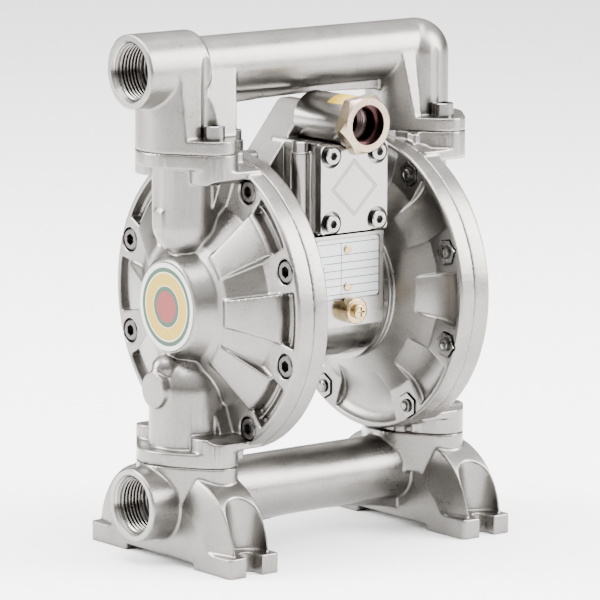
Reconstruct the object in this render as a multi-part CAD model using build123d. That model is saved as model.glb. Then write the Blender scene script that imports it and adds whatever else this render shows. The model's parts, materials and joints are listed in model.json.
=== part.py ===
from build123d import *
from math import asin, cos, radians, sin, sqrt
import os

# Air operated double diaphragm pump with one inch ports, modelled in millimetres.
#
# X runs along the shaft, the front (air inlet, valve cover, name plate) faces -Y and Z is up.
# The origin is on the ground at the centre of the four foot slots.

# ---------------------------------------------------------------- driving dimensions
INLET_Z = 34.7            # height of the inlet tube above the ground

# bolted joint between fluid cover and air chamber
PARTING_X = 59.15         # plane where the two castings meet
FLANGE_R = 88.0
CHAMBER_FLANGE_T = 10.55
COVER_FLANGE_T = 11.55
RIM_W = 3.2               # flat ring left round the cast pockets
BOLT_INSET = 8.4          # bolt circle inside the flange edge
BOLT_FIRST = 20.0         # first bolt above the horizontal, degrees
BOLT_STEP = 40.0
BOLT_R = 4.0
BOLT_HEAD_R = 6.5
BOLT_HEAD_H = 6.0
BOLT_SINK = 6.5           # depth of the round spot face
BOLT_HOLE_GAP = 0.4
SPOT_GAP = 0.7            # radial room round a bolt head
NUT_AF = 13.0
NUT_T = 6.5
NUT_SINK = 5.5
NUT_POCKET_GAP = 0.35
SOCKET_AF_RATIO = 0.78    # hexagon socket across flats over shank diameter
SOCKET_DEPTH_RATIO = 0.55

# ribbed outside of a fluid cover
HUB_RISE = 27.8           # hub face above the flange face
HUB_FACE_R = 26.8
HUB_ROOT_R = 40.6
HUB_ROOT_DROP = 12.3      # hub face down to the root of the ribs
RIB_FOOT_INSET = 26.0     # where a bolt valley reaches the flange face
PANEL_INSET = 16.2        # where a raised panel drops into its pocket
PANEL_RISE = 2.7          # panel end above the flange face
POCKET_DEPTH = 6.2
POCKET_RING_INSET = 10.8
POCKET_RING_W = 1.8
POCKET_RING_H = 3.2
PANEL_HALF_ANGLE = 11.2
PANEL_STEP = 40.5
COVER_WALL = 6.0
CAVITY_INSET = 22.0
WAY_END = 48.0            # nearer the shaft line the ways keep off the hub wall

# badge on the hub
BADGE_R = 25.6
BADGE_T = 1.2
BADGE_SINK = 0.8
BADGE_GAP = 0.3

# air chamber
CENTRE_HALF_X = 30.0      # half length of the centre block
CHAMBER_GASKET_T = 1.0
CENTRE_RING_R = 44.0
CENTRE_RING_T = 3.2
CHAMBER_HUB_R = 42.0
CHAMBER_HUB_L = 5.0
CHAMBER_RIB_INSET = 21.0
CHAMBER_FLOOR = 13.0      # wall between the centre block and the air side
SCALLOP_DEPTH = 4.2
SCALLOP_HALF_ANGLE = 11.4
SUMP_HALF_ANGLE = 20.0
CHAMBER_SCREW_PITCH_R = 31.0
CHAMBER_SCREW_R = 3.0
AIR_BOSS_R = 5.6
AIR_BOSS_INSET = 7.2
AIR_BOSS_L = 13.0

# diaphragm stack
BEAD_INSET = 17.0
BEAD_T = 2.5
DIAPHRAGM_CROWN = 6.6     # centre of the membrane outside the parting plane
CLAMP_R = 33.0
PLATE_R = 28.0
OUTER_PLATE_T = 8.0
INNER_PLATE_T = 6.0
STROKE = 8.0              # each way from mid stroke
SHAFT_R = 10.0
STUD_R = 6.0
STUD_ENGAGE = 5.0
RUN_FIT = 0.06            # radial running clearance
BUSH_T = 3.0
BUSH_L = 14.0
SEAL_T = 2.4
SEAL_L = 4.0
PILOT_R = 4.0
PILOT_OFFSET = 23.0
PILOT_TRAVEL = 2.5
PILOT_GAP = 0.3
SEAL_GAP = 0.3

# necks and the two-bolt oval joints
NECK_X = 84.5
INLET_DROP = 23.0         # inlet tube below its joints
TOP_JOINT_GAP = 3.1       # upper joint plane above the round flange
BOTTOM_JOINT_GAP = 2.5    # lower joint plane below the round flange
OVAL_R = 29.0
EAR_Y = 26.7
EAR_R = 13.6
EAR_T = 8.5               # cover side of the joint
EAR_COLUMN_H = 17.3
EAR_SHELF_DROP = 1.5      # shelf between ear and flange, under the joint plate
MANIFOLD_FLANGE_T = 8.0
TOP_NECK_R = 19.6
BOTTOM_NECK_R = 22.0
NECK_BORE_R = 10.5
CAP_R = 4.0               # manifold screws
CAP_HEAD_R = 6.5
CAP_HEAD_H = 8.0
CAP_ENGAGE = 13.0
CAP_GAP = 0.5
WEB_FACE = 9.3            # neck web above the flange face
WEB_TOP_Y = 27.0
WEB_HUB_Y = 12.0
TAB_W = 9.0
TAB_H = 11.0
TAB_RISE = 51.0
TAB_PROUD = 1.0
BOSS_DISC_R = 10.7
BOSS_DISC_DROP = 47.6
BOSS_DISC_PROUD = 2.4
BUMP_R = 8.0
BUMP_DROP = 36.0
BUMP_SINK = 6.6

# ball valves
BALL_R = 12.5
BALL_CHAMBER_R = 14.5
BALL_LIFT = 8.0
BALL_GAP = 0.35
SEAT_R = 18.5
SEAT_T = 8.0
SEAT_BORE_R = 9.6
SEAT_LIP_R = 10.4
SEAT_FIT = 0.05
SEAT_RING_R = 1.4

# manifolds
OUTLET_RISE = 25.2        # outlet tube above the valve tower
PORT_X = 124.4            # mouth of both ports, from the centre line
PORT_R = 21.55
PORT_BACK_X = 80.0        # where the outlet port boss steps down to the tube
PORT_BACK_FILLET = 4.0
THREAD_R = 16.62          # G1 major radius
THREAD_DEPTH = 20.0
MOUTH_CHAMFER = 1.3
OUTLET_TUBE_R = 17.1
INLET_TUBE_R = 19.4
PASSAGE_R = 12.8
ELBOW_R = 20.4
NECK_FACE_Y = 25.0        # flat front and back of an outlet neck, at its flange
STRIP_X = 12.9            # inner end of the flat strip on the elbow neck
GROOVE_GAP = 0.5
WEB_HALF_T = 3.5
WEB_RISE = 21.3           # crown of the outlet web under the tube line
WEB_SAG = 4.4
SKIRT_HALF_T = 6.0
SKIRT_DROP = 18.3
SKIRT_SAG = 7.5

# feet
FOOT_X = 86.75
FOOT_W = 35.9
FOOT_Y = 68.1
FOOT_T = 11.8
FOOT_INNER_Y = 33.0
FOOT_ARCH = 3.6
FOOT_CORNER_R = 2.5
SLOT_R = 5.5
SLOT_Y = 60.6
WASHER_R = 12.0
BODY_HALF_W = 12.6
BODY_TOP_Y = 29.0
BODY_MID_Y = 52.8
BODY_MID_Z = 38.7
BODY_END_Y = 65.2
BODY_LID = 5.0
WEDGE_TOP_Y = 8.0
WEDGE_TOP_Z = 41.0
WEDGE_MID_Y = 30.9
WEDGE_MID_Z = 28.5
WEDGE_END_Y = 46.0
WEDGE_LID = 0.5

# centre block
BLOCK_R = 40.6
BLOCK_TOP_RISE = 38.8
BOSS_FACE_Y = 45.0
BOSS_HALF_X = 25.5
BOSS_BOTTOM_DROP = 15.2
PLATE_X = -1.6            # name plate centre
PLATE_HALF_W = 23.2
PLATE_BOTTOM_RISE = 1.5
PLATE_TOP_RISE = 36.2
PLATE_T = 0.8
PLATE_CORNER_R = 2.0
PLATE_FRAME = 1.0
RIVET_R = 1.7
RIVET_L = 3.0
RIVET_EDGE = 6.4
EARTH_DROP = 5.6
EARTH_R = 7.6
EARTH_L = 8.0
EARTH_SCREW_R = 2.5
EARTH_HEAD_R = 4.4
EARTH_HEAD_H = 3.2

# air valve
VALVE_RISE = 66.5
VALVE_HALF_X = 22.6
VALVE_FACE_Y = 44.0
VALVE_TOP_RISE = 92.8
GASKET_T = 0.8
COVER_PLATE_T = 4.5
COVER_PLATE_HALF_X = 24.4
COVER_PLATE_HALF_Z = 25.7
COVER_SCREW_X = 17.0
COVER_SCREW_DZ = 19.8
COVER_SCREW_R = 3.0
COVER_SCREW_HEAD_R = 5.0
COVER_SCREW_HEAD_H = 5.0
COVER_NOTCH_R = 7.4
COVER_NOTCH_DEPTH = 2.5
COVER_SCREW_L = 14.0
SLEEVE_R = 12.0
SLEEVE_T = 4.0
SLEEVE_L = 60.0
SPOOL_L = 44.0
SPOOL_TRAVEL = 6.0
SPOOL_NECK_R = 4.5
SPOOL_LANDS = 3
LAND_L = 9.0
RING_GROOVE_W = 2.0
RING_GROOVE_D = 1.4
COLUMN_X = 26.0
COLUMN_Y = 32.0
COLUMN_R = 6.0
COLUMN_HEAD_GAP = 0.5
COLUMN_TOP_RISE = 87.8
BODY_SCREW_R = 3.0
BODY_SCREW_HEAD_R = 5.0
BODY_SCREW_HEAD_H = 6.0
BODY_SCREW_ENGAGE = 14.0
TOWER_FRONT_Y = 12.0
TOWER_BACK_Y = 16.0
TOWER_FOOT_X = 29.5
TOWER_SHOULDER_X = 33.0
TOWER_SHOULDER_RISE = 77.8
TOWER_TOP_X = 5.0
TOWER_TOP_RISE = 112.8
SADDLE_T = 6.0
SADDLE_HALF_Y = 36.5

# air inlet fitting
AIR_RISE = 104.2
FITTING_R = 15.4
FITTING_BACK_Y = 12.0
FITTING_FRONT_Y = 54.0
HEX_AF = 32.0
HEX_L = 8.0
HEX_TURN = 8.0
AIR_BORE_R = 11.6
AIR_BORE_DEPTH = 7.0
AIR_THREAD_R = 10.48      # G1/2 major radius
AIR_THREAD_L = 15.0
AIR_WAY_R = 8.0
FITTING_GAP = 0.5

# exhaust silencer
EXHAUST_RISE = 14.8
EXHAUST_R = 15.0
EXHAUST_L = 26.0
EXHAUST_BOSS_Y = 42.0
EXHAUST_BOSS_R = 16.5
EXHAUST_STEM_R = 9.0
EXHAUST_STEM_L = 8.0
EXHAUST_RIBS = 5

# ---------------------------------------------------------------- derived places
BOTTOM_PARTING_Z = INLET_Z + INLET_DROP
AXIS_Z = BOTTOM_PARTING_Z + BOTTOM_JOINT_GAP + FLANGE_R
TOP_PARTING_Z = AXIS_Z + FLANGE_R + TOP_JOINT_GAP
BOLT_CIRCLE_R = FLANGE_R - BOLT_INSET
RIB_FOOT_R = FLANGE_R - RIB_FOOT_INSET
PANEL_END_R = FLANGE_R - PANEL_INSET
POCKET_RING_R = FLANGE_R - POCKET_RING_INSET
CAVITY_R = FLANGE_R - CAVITY_INSET
CHAMBER_RIB_R = FLANGE_R - CHAMBER_RIB_INSET
AIR_BOSS_RISE = FLANGE_R - AIR_BOSS_INSET
BEAD_R = FLANGE_R - BEAD_INSET
BLOCK_TOP_Z = AXIS_Z + BLOCK_TOP_RISE
BOSS_BOTTOM_Z = AXIS_Z - BOSS_BOTTOM_DROP
PLATE_BOTTOM_Z = AXIS_Z + PLATE_BOTTOM_RISE
PLATE_TOP_Z = AXIS_Z + PLATE_TOP_RISE
EARTH_Z = AXIS_Z - EARTH_DROP
VALVE_Z = AXIS_Z + VALVE_RISE
VALVE_TOP_Z = AXIS_Z + VALVE_TOP_RISE
COLUMN_TOP_Z = AXIS_Z + COLUMN_TOP_RISE
TOWER_SHOULDER_Z = AXIS_Z + TOWER_SHOULDER_RISE
TOWER_TOP_Z = AXIS_Z + TOWER_TOP_RISE
OUTLET_Z = TOWER_TOP_Z + OUTLET_RISE
AIR_Z = AXIS_Z + AIR_RISE
EXHAUST_Z = AXIS_Z + EXHAUST_RISE
COVER_FACE_X = PARTING_X + COVER_FLANGE_T
CHAMBER_FACE_X = PARTING_X - CHAMBER_FLANGE_T
HUB_FACE_X = COVER_FACE_X + HUB_RISE
HUB_ROOT_X = HUB_FACE_X - HUB_ROOT_DROP
PANEL_END_X = COVER_FACE_X + PANEL_RISE
POCKET_X = COVER_FACE_X - POCKET_DEPTH
POCKET_R = FLANGE_R - RIM_W
CHAMBER_BACK_X = CENTRE_HALF_X + CHAMBER_GASKET_T
CHAMBER_FLOOR_X = CHAMBER_BACK_X + CHAMBER_FLOOR
CLAMP_X = PARTING_X + DIAPHRAGM_CROWN
INNER_PLATE_X = CLAMP_X - BEAD_T / 2 - INNER_PLATE_T
OUTER_PLATE_X = CLAMP_X + BEAD_T / 2
SHAFT_HALF_L = INNER_PLATE_X
PILOT_HALF_L = INNER_PLATE_X - STROKE - PILOT_GAP
BOLT_SEAT_X = COVER_FACE_X - BOLT_SINK
NUT_SEAT_X = CHAMBER_FACE_X + NUT_SINK
NUT_END_X = NUT_SEAT_X - NUT_T
TOP_SEAT_Z = TOP_PARTING_Z + SEAT_T / 2
BOTTOM_SEAT_Z = BOTTOM_PARTING_Z + SEAT_T / 2
BALL_REST = sqrt(BALL_R**2 - SEAT_LIP_R**2) + BALL_GAP
BALL_STOP = BALL_REST + BALL_LIFT + BALL_GAP + sqrt(BALL_R**2 - NECK_BORE_R**2)
CAP_TOP_Z = TOP_PARTING_Z + MANIFOLD_FLANGE_T
CAP_BOTTOM_Z = BOTTOM_PARTING_Z - 2 * MANIFOLD_FLANGE_T
VALVE_PLATE_Y = VALVE_FACE_Y + GASKET_T
SPOOL_FRONT_Y = -(VALVE_FACE_Y - GASKET_T - SPOOL_TRAVEL)
FAR = 400.0


# ---------------------------------------------------------------- building helpers
def along_x(radius, x0, x1, y=0.0, z=0.0):
    """Cylinder of the given radius between two X stations."""
    return Pos((x0 + x1) / 2, y, z) * Rot(0, 90, 0) * Cylinder(radius, abs(x1 - x0))


def along_y(radius, y0, y1, x=0.0, z=0.0):
    """Cylinder of the given radius between two Y stations."""
    return Pos(x, (y0 + y1) / 2, z) * Rot(90, 0, 0) * Cylinder(radius, abs(y1 - y0))


def along_z(radius, z0, z1, x=0.0, y=0.0):
    """Cylinder of the given radius between two heights."""
    return Pos(x, y, (z0 + z1) / 2) * Cylinder(radius, abs(z1 - z0))


def block(x0, x1, y0, y1, z0, z1):
    """Box between opposite corners."""
    centre = Pos((x0 + x1) / 2, (y0 + y1) / 2, (z0 + z1) / 2)
    return centre * Box(abs(x1 - x0), abs(y1 - y0), abs(z1 - z0))


def turned(points, z=AXIS_Z):
    """Solid of revolution about a line along X; each point is (x, radius)."""
    return Pos(0, 0, z) * revolve(make_face(Polyline(*points, close=True)), Axis.X)


def prism_x(points, x0, x1):
    """Prism along X of an outline given as (y, z) points."""
    return extrude(Plane.YZ.offset(x0) * make_face(Polyline(*points, close=True)), x1 - x0)


def plate_y(edges, half_thickness):
    """Plate centred on the XZ plane from outline edges drawn as (x, z)."""
    return extrude(Plane.XZ * make_face(edges), half_thickness, both=True)


def polar(angle, radius):
    """(y, z) of a point round the shaft line, from the front and counted upwards."""
    return -radius * cos(radians(angle)), AXIS_Z + radius * sin(radians(angle))


def sector(half_angle, x0, x1):
    """Wedge that holds everything within half_angle of the front of the shaft line."""
    reach = 1.5 * FLANGE_R
    corners = [polar(0.0, 0.0), polar(-half_angle, reach), polar(half_angle, reach)]
    return prism_x(corners, x0, x1)


def spun(shape, angle):
    """Shape turned about the shaft line, from the front and upwards."""
    return Pos(0, 0, AXIS_Z) * Rot(-angle, 0, 0) * Pos(0, 0, -AXIS_Z) * shape


def hexagon_prism(across_flats, length):
    """Hexagon prism standing on the XY plane."""
    return extrude(RegularPolygon(across_flats / 2, 6, major_radius=False), length)


def other_side(shape):
    """Mirror image through the centre plane."""
    return mirror(shape, about=Plane.YZ)


def oval(x, z0, z1):
    """Two-bolt oval between two heights: a round middle drawn out to an ear front and back."""
    lean = asin((OVAL_R - EAR_R) / EAR_Y)
    round_x, round_y = OVAL_R * cos(lean), OVAL_R * sin(lean)
    ear_x, ear_y = EAR_R * cos(lean), EAR_Y + EAR_R * sin(lean)
    half = [(round_x, round_y), (ear_x, ear_y), (-ear_x, ear_y), (-round_x, round_y)]
    other = [(-px, -py) for px, py in half]
    shape = Circle(OVAL_R) + make_face(Polyline(*half, *other, close=True))
    for side in (-1, 1):
        shape += Pos(0, side * EAR_Y) * Circle(EAR_R)
    return extrude(Pos(x, 0, z0) * shape, z1 - z0)


def bolt_angles():
    """Angles of the flange bolts: four in front and four behind, clear of both necks."""
    front = [-BOLT_FIRST - BOLT_STEP, -BOLT_FIRST, BOLT_FIRST, BOLT_FIRST + BOLT_STEP]
    return front + [180 - angle for angle in front]


def panel_angles():
    """Angles of the raised panels between the flange bolts."""
    front = [-PANEL_STEP, 0.0, PANEL_STEP]
    return front + [180 - angle for angle in front]


def socket_screw(shank_r, shank_l, head_r, head_h, head_edge=0.5):
    """Socket head cap screw pointing down, with its head standing on the XY plane."""
    head = Cylinder(head_r, head_h, align=(Align.CENTER, Align.CENTER, Align.MIN))
    head = chamfer(head.edges().sort_by(Axis.Z)[-1], head_edge)
    shank = Pos(0, 0, -shank_l) * Cylinder(shank_r, shank_l, align=(Align.CENTER, Align.CENTER, Align.MIN))
    depth = SOCKET_DEPTH_RATIO * head_h
    key = Pos(0, 0, head_h - depth) * hexagon_prism(2 * shank_r * SOCKET_AF_RATIO, 2 * depth)
    return head + shank - key


# ---------------------------------------------------------------- fluid covers
def cover_outside():
    """Dome of a fluid cover: turned hub and flange with raised panels and pockets between bolts."""
    dome = turned([
        (PARTING_X, 0), (PARTING_X, FLANGE_R), (COVER_FACE_X - 1, FLANGE_R), (COVER_FACE_X, FLANGE_R - 1),
        (COVER_FACE_X, RIB_FOOT_R), (HUB_ROOT_X - 1, HUB_ROOT_R), (HUB_ROOT_X + 0.7, HUB_ROOT_R - 7),
        (HUB_FACE_X - 5.2, HUB_FACE_R + 3.6), (HUB_FACE_X - 1.2, HUB_FACE_R + 1.4),
        (HUB_FACE_X, HUB_FACE_R), (HUB_FACE_X, 0),
    ])
    panel = turned([
        (POCKET_X, RIB_FOOT_R - 4), (HUB_ROOT_X - COVER_WALL, HUB_ROOT_R - 6), (HUB_ROOT_X, HUB_ROOT_R - 2),
        (HUB_ROOT_X, HUB_ROOT_R), (PANEL_END_X, PANEL_END_R), (PANEL_END_X - 1, PANEL_END_R + 0.7),
        (POCKET_X, PANEL_END_R + 1.2),
    ])
    pocket = turned([
        (POCKET_X, PANEL_END_R + 1.2), (PANEL_END_X, PANEL_END_R + 1.2),
        (PANEL_END_X, POCKET_R), (POCKET_X, POCKET_R - 0.8),
    ])
    ring = turned([
        (POCKET_X - 1, POCKET_RING_R), (POCKET_X + POCKET_RING_H, POCKET_RING_R + 0.3),
        (POCKET_X + POCKET_RING_H, POCKET_RING_R + POCKET_RING_W - 0.3),
        (POCKET_X - 1, POCKET_RING_R + POCKET_RING_W),
    ])
    wedge = sector(PANEL_HALF_ANGLE, PARTING_X + 1, HUB_FACE_X)
    pocket_piece = pocket & wedge
    raised_pieces = (panel & wedge) + (ring & wedge)
    dome = spun(dome, -90)
    for angle in panel_angles():
        dome -= spun(pocket_piece, angle)
        dome += spun(raised_pieces, angle)
    return dome


def cover_necks():
    """Both necks of a cover with their oval joints, ear columns and webs."""
    top_ball_z = AXIS_Z + HUB_ROOT_R + TOP_NECK_R * 0.38
    low_ball_z = AXIS_Z - HUB_ROOT_R - BOTTOM_NECK_R * 0.44
    shape = along_z(TOP_NECK_R, top_ball_z, TOP_PARTING_Z, NECK_X)
    shape += Pos(NECK_X, 0, top_ball_z) * Sphere(TOP_NECK_R)
    shape += along_z(BOTTOM_NECK_R, BOTTOM_PARTING_Z, low_ball_z, NECK_X)
    shape += Pos(NECK_X, 0, low_ball_z) * Sphere(BOTTOM_NECK_R)
    web_x = COVER_FACE_X + WEB_FACE
    for level, way in ((TOP_PARTING_Z, -1), (BOTTOM_PARTING_Z, 1)):
        shape += oval(NECK_X, *sorted((level, level + way * EAR_T)))
        under = level + way * EAR_COLUMN_H
        hub = AXIS_Z - way * HUB_ROOT_R
        outline = [(-WEB_TOP_Y, under), (-WEB_HUB_Y, hub), (WEB_HUB_Y, hub), (WEB_TOP_Y, under),
                   (WEB_TOP_Y, level + way * 1.0), (-WEB_TOP_Y, level + way * 1.0)]
        shape += prism_x(outline, PARTING_X + 4, web_x)
        for side in (-1, 1):
            shape += along_z(EAR_R, level, under, NECK_X, side * EAR_Y)
            ear_out = side * (EAR_Y + EAR_R)
            shelf = level + way * (EAR_T + EAR_SHELF_DROP)
            shape += block(PARTING_X + 1, NECK_X, side * (EAR_Y - EAR_R), ear_out, shelf, under)
    shape += along_x(BOSS_DISC_R, NECK_X, NECK_X + BOTTOM_NECK_R + BOSS_DISC_PROUD, 0, AXIS_Z - BOSS_DISC_DROP)
    bump_x = NECK_X + BOTTOM_NECK_R - BUMP_SINK
    shape += Pos(bump_x, 0, AXIS_Z - BUMP_DROP) * Sphere(BUMP_R)
    shape += along_z(BUMP_R, AXIS_Z - BOSS_DISC_DROP, AXIS_Z - BUMP_DROP, bump_x)
    tab_z = AXIS_Z + TAB_RISE
    tab_x = NECK_X + TOP_NECK_R
    shape += block(NECK_X, tab_x + TAB_PROUD, -TAB_W / 2, TAB_W / 2, tab_z - TAB_H / 2, tab_z + TAB_H / 2)
    return shape


def cover_cavity():
    """Fluid space of a cover: the bowl, both ways to the valves and the suction ball chamber."""
    bowl = turned([
        (PARTING_X - 1, 0), (PARTING_X - 1, CAVITY_R - 2), (PARTING_X + 3, CAVITY_R - 2),
        (COVER_FACE_X - COVER_WALL + 1, RIB_FOOT_R - 3), (HUB_ROOT_X - COVER_WALL - 0.5, HUB_ROOT_R - 3),
        (HUB_ROOT_X - 3, HUB_FACE_R + 3), (HUB_FACE_X - COVER_WALL, HUB_FACE_R - 5), (HUB_FACE_X - COVER_WALL, 0),
    ])
    bead = along_x(BEAD_R + BADGE_GAP, PARTING_X - 1, PARTING_X + BEAD_T / 2, 0, AXIS_Z)
    ways = along_z(NECK_BORE_R, BOTTOM_PARTING_Z - 1, TOP_PARTING_Z + 1, NECK_X)
    ways -= block(HUB_ROOT_X - COVER_WALL, FAR, -FAR, FAR, AXIS_Z - WAY_END, AXIS_Z + WAY_END)
    ways += along_z(SEAT_R + SEAT_FIT, TOP_PARTING_Z - SEAT_T / 2, TOP_PARTING_Z + 1, NECK_X)
    ways += along_z(SEAT_R + SEAT_FIT, BOTTOM_PARTING_Z - 1, BOTTOM_SEAT_Z, NECK_X)
    ways += along_z(BALL_CHAMBER_R, BOTTOM_SEAT_Z, BOTTOM_SEAT_Z + BALL_STOP, NECK_X)
    return bowl + bead + ways


def fluid_cover():
    """Fluid cover on the +X side."""
    joint_side = block(PARTING_X, FAR, -FAR, FAR, 0, FAR)
    shape = cover_outside() + (cover_necks() & joint_side) - cover_cavity()
    shape -= along_x(BADGE_R + BADGE_GAP, HUB_FACE_X - BADGE_SINK, HUB_FACE_X + 1, 0, AXIS_Z)
    for angle in bolt_angles():
        y, z = polar(angle, BOLT_CIRCLE_R)
        shape -= along_x(BOLT_R + BOLT_HOLE_GAP, PARTING_X - 1, FAR, y, z)
        shape -= along_x(BOLT_HEAD_R + SPOT_GAP, BOLT_SEAT_X, FAR, y, z)
    for side in (-1, 1):
        shape -= along_z(CAP_R + CAP_GAP, TOP_PARTING_Z - CAP_ENGAGE - 1, TOP_PARTING_Z + 1, NECK_X, side * EAR_Y)
        shape -= along_z(CAP_R + CAP_GAP, BOTTOM_PARTING_Z - 1, BOTTOM_PARTING_Z + CAP_ENGAGE + 1,
                         NECK_X, side * EAR_Y)
    return shape


def badge():
    """Round badge plate in the hub recess of the +X cover."""
    x0 = HUB_FACE_X - BADGE_SINK
    return along_x(BADGE_R, x0, x0 + BADGE_T, 0, AXIS_Z)


def cover_bolts():
    """Flange bolts of the +X side."""
    grip = BOLT_SEAT_X - NUT_END_X + 1.2
    bolts = []
    for angle in bolt_angles():
        y, z = polar(angle, BOLT_CIRCLE_R)
        screw = socket_screw(BOLT_R, grip, BOLT_HEAD_R, BOLT_HEAD_H, 0.9)
        bolts.append(Pos(BOLT_SEAT_X, y, z) * Rot(0, 90, 0) * screw)
    return bolts


def cover_nuts():
    """Flange nuts of the +X side, each in its hexagon pocket."""
    nuts = []
    for angle in bolt_angles():
        y, z = polar(angle, BOLT_CIRCLE_R)
        nut = hexagon_prism(NUT_AF, NUT_T) - Cylinder(BOLT_R + RUN_FIT, 3 * NUT_T)
        nuts.append(Pos(NUT_END_X, y, z) * Rot(angle, 0, 0) * Rot(0, 90, 0) * nut)
    return nuts


# ---------------------------------------------------------------- air chambers
def scallop(half_angle):
    """Concave trough cut between two nut ribs."""
    inner = (CHAMBER_BACK_X + CHAMBER_HUB_L, CHAMBER_HUB_R + 2)
    deepest = (CHAMBER_FACE_X + SCALLOP_DEPTH, CHAMBER_RIB_R + 7)
    outer = (CHAMBER_FACE_X - 1, POCKET_R)
    middle = (CHAMBER_FACE_X - 3.6, CHAMBER_RIB_R - 9)
    trough = Spline(inner, middle, deepest, (deepest[0] - 1.6, POCKET_R - 2.2), outer)
    lid = Polyline(outer, (0, POCKET_R), (0, inner[1]), inner)
    ring = Pos(0, 0, AXIS_Z) * revolve(make_face([trough] + lid.edges()), Axis.X)
    return ring & sector(half_angle, 0, PARTING_X)


def air_chamber():
    """Air chamber on the +X side, ribbed towards the centre block."""
    shape = turned([
        (CHAMBER_BACK_X, 0), (CHAMBER_BACK_X, CENTRE_RING_R), (CHAMBER_BACK_X + CENTRE_RING_T, CENTRE_RING_R),
        (CHAMBER_BACK_X + CENTRE_RING_T, CHAMBER_HUB_R), (CHAMBER_BACK_X + CHAMBER_HUB_L, CHAMBER_HUB_R),
        (CHAMBER_FACE_X, CHAMBER_RIB_R), (CHAMBER_FACE_X, FLANGE_R - 1), (CHAMBER_FACE_X + 1, FLANGE_R),
        (PARTING_X, FLANGE_R), (PARTING_X, 0),
    ])
    shape = spun(shape, -BOLT_FIRST)
    rib_trough = scallop(SCALLOP_HALF_ANGLE)
    wide_trough = scallop(SUMP_HALF_ANGLE)
    for angle in panel_angles():
        shape -= spun(rib_trough, angle)
    for angle in (-90, 90):
        shape -= spun(wide_trough, angle)
    boss_end = CHAMBER_FACE_X - AIR_BOSS_L
    shape += along_x(AIR_BOSS_R, boss_end, PARTING_X - 2, 0, AXIS_Z + AIR_BOSS_RISE)
    shape -= turned([
        (CHAMBER_FLOOR_X, 0), (CHAMBER_FLOOR_X, CHAMBER_HUB_R - 4), (PARTING_X - 3, CAVITY_R - 4),
        (PARTING_X + 1, CAVITY_R - 4), (PARTING_X + 1, 0),
    ])
    shape -= along_x(BEAD_R + BADGE_GAP, PARTING_X - BEAD_T / 2, PARTING_X + 1, 0, AXIS_Z)
    shape -= along_x(SHAFT_R + SEAL_GAP, 0, PARTING_X, 0, AXIS_Z)
    shape -= along_x(SHAFT_R + SEAL_T + SEAL_GAP, CHAMBER_BACK_X + SEAL_L, CHAMBER_BACK_X + 2 * SEAL_L, 0, AXIS_Z)
    shape -= along_x(PILOT_R + SEAL_GAP, 0, PARTING_X, 0, AXIS_Z + PILOT_OFFSET)
    for y, z in chamber_screw_places():
        shape -= along_x(CHAMBER_SCREW_R + BOLT_HOLE_GAP, 0, PARTING_X, y, z)
        shape -= along_x(2 * CHAMBER_SCREW_R, CHAMBER_FLOOR_X - 2 * CHAMBER_SCREW_R, PARTING_X, y, z)
    for angle in bolt_angles():
        y, z = polar(angle, BOLT_CIRCLE_R)
        pocket = hexagon_prism(NUT_AF + 2 * NUT_POCKET_GAP, 2 * NUT_SINK)
        shape -= Pos(NUT_SEAT_X - 2 * NUT_SINK, y, z) * Rot(angle, 0, 0) * Rot(0, 90, 0) * pocket
        shape -= along_x(BOLT_R + BOLT_HOLE_GAP, 0, PARTING_X + 1, y, z)
    return shape


def chamber_screw_places():
    """(y, z) of the four screws that hold an air chamber to the centre block."""
    return [polar(angle, CHAMBER_SCREW_PITCH_R) for angle in (45, 135, 225, 315)]


def chamber_screws():
    """Screws inside the +X air chamber."""
    seat = CHAMBER_FLOOR_X - 2 * CHAMBER_SCREW_R
    length = seat - CENTRE_HALF_X + 4 * CHAMBER_SCREW_R
    screw = socket_screw(CHAMBER_SCREW_R, length, 1.7 * CHAMBER_SCREW_R, 1.8 * CHAMBER_SCREW_R)
    return [Pos(seat, y, z) * Rot(0, 90, 0) * screw for y, z in chamber_screw_places()]


def chamber_gasket():
    """Flat gasket between the centre block and the +X air chamber."""
    shape = along_x(CENTRE_RING_R, CENTRE_HALF_X, CHAMBER_BACK_X, 0, AXIS_Z)
    shape -= along_x(SHAFT_R + 2 * SEAL_GAP, 0, PARTING_X, 0, AXIS_Z)
    shape -= along_x(PILOT_R + 2 * SEAL_GAP, 0, PARTING_X, 0, AXIS_Z + PILOT_OFFSET)
    for y, z in chamber_screw_places():
        shape -= along_x(CHAMBER_SCREW_R + BOLT_HOLE_GAP, 0, PARTING_X, y, z)
    return shape


# ---------------------------------------------------------------- moving stack
def diaphragm():
    """Membrane of the +X side: clamped bead, sloping wall and flat middle."""
    half = BEAD_T / 2
    bead_in = CAVITY_R - 3.0
    return turned([
        (PARTING_X - half, BEAD_R), (PARTING_X + half, BEAD_R), (PARTING_X + half, bead_in),
        (CLAMP_X + half, CLAMP_R), (CLAMP_X + half, STUD_R + SEAL_GAP), (CLAMP_X - half, STUD_R + SEAL_GAP),
        (CLAMP_X - half, CLAMP_R), (PARTING_X - half, bead_in),
    ])


def outer_plate():
    """Domed fluid-side plate, tapped for the shaft stud."""
    x0 = OUTER_PLATE_X
    shape = turned([
        (x0, 0), (x0, PLATE_R), (x0 + OUTER_PLATE_T * 0.45, PLATE_R),
        (x0 + OUTER_PLATE_T, PLATE_R * 0.7), (x0 + OUTER_PLATE_T, 0),
    ])
    return shape - along_x(STUD_R + RUN_FIT, x0 - 1, x0 + STUD_ENGAGE, 0, AXIS_Z)


def inner_plate():
    """Flat air-side plate between the shaft shoulder and the membrane."""
    shape = along_x(PLATE_R, INNER_PLATE_X, INNER_PLATE_X + INNER_PLATE_T, 0, AXIS_Z)
    return shape - along_x(STUD_R + RUN_FIT, 0, FAR, 0, AXIS_Z)


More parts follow.
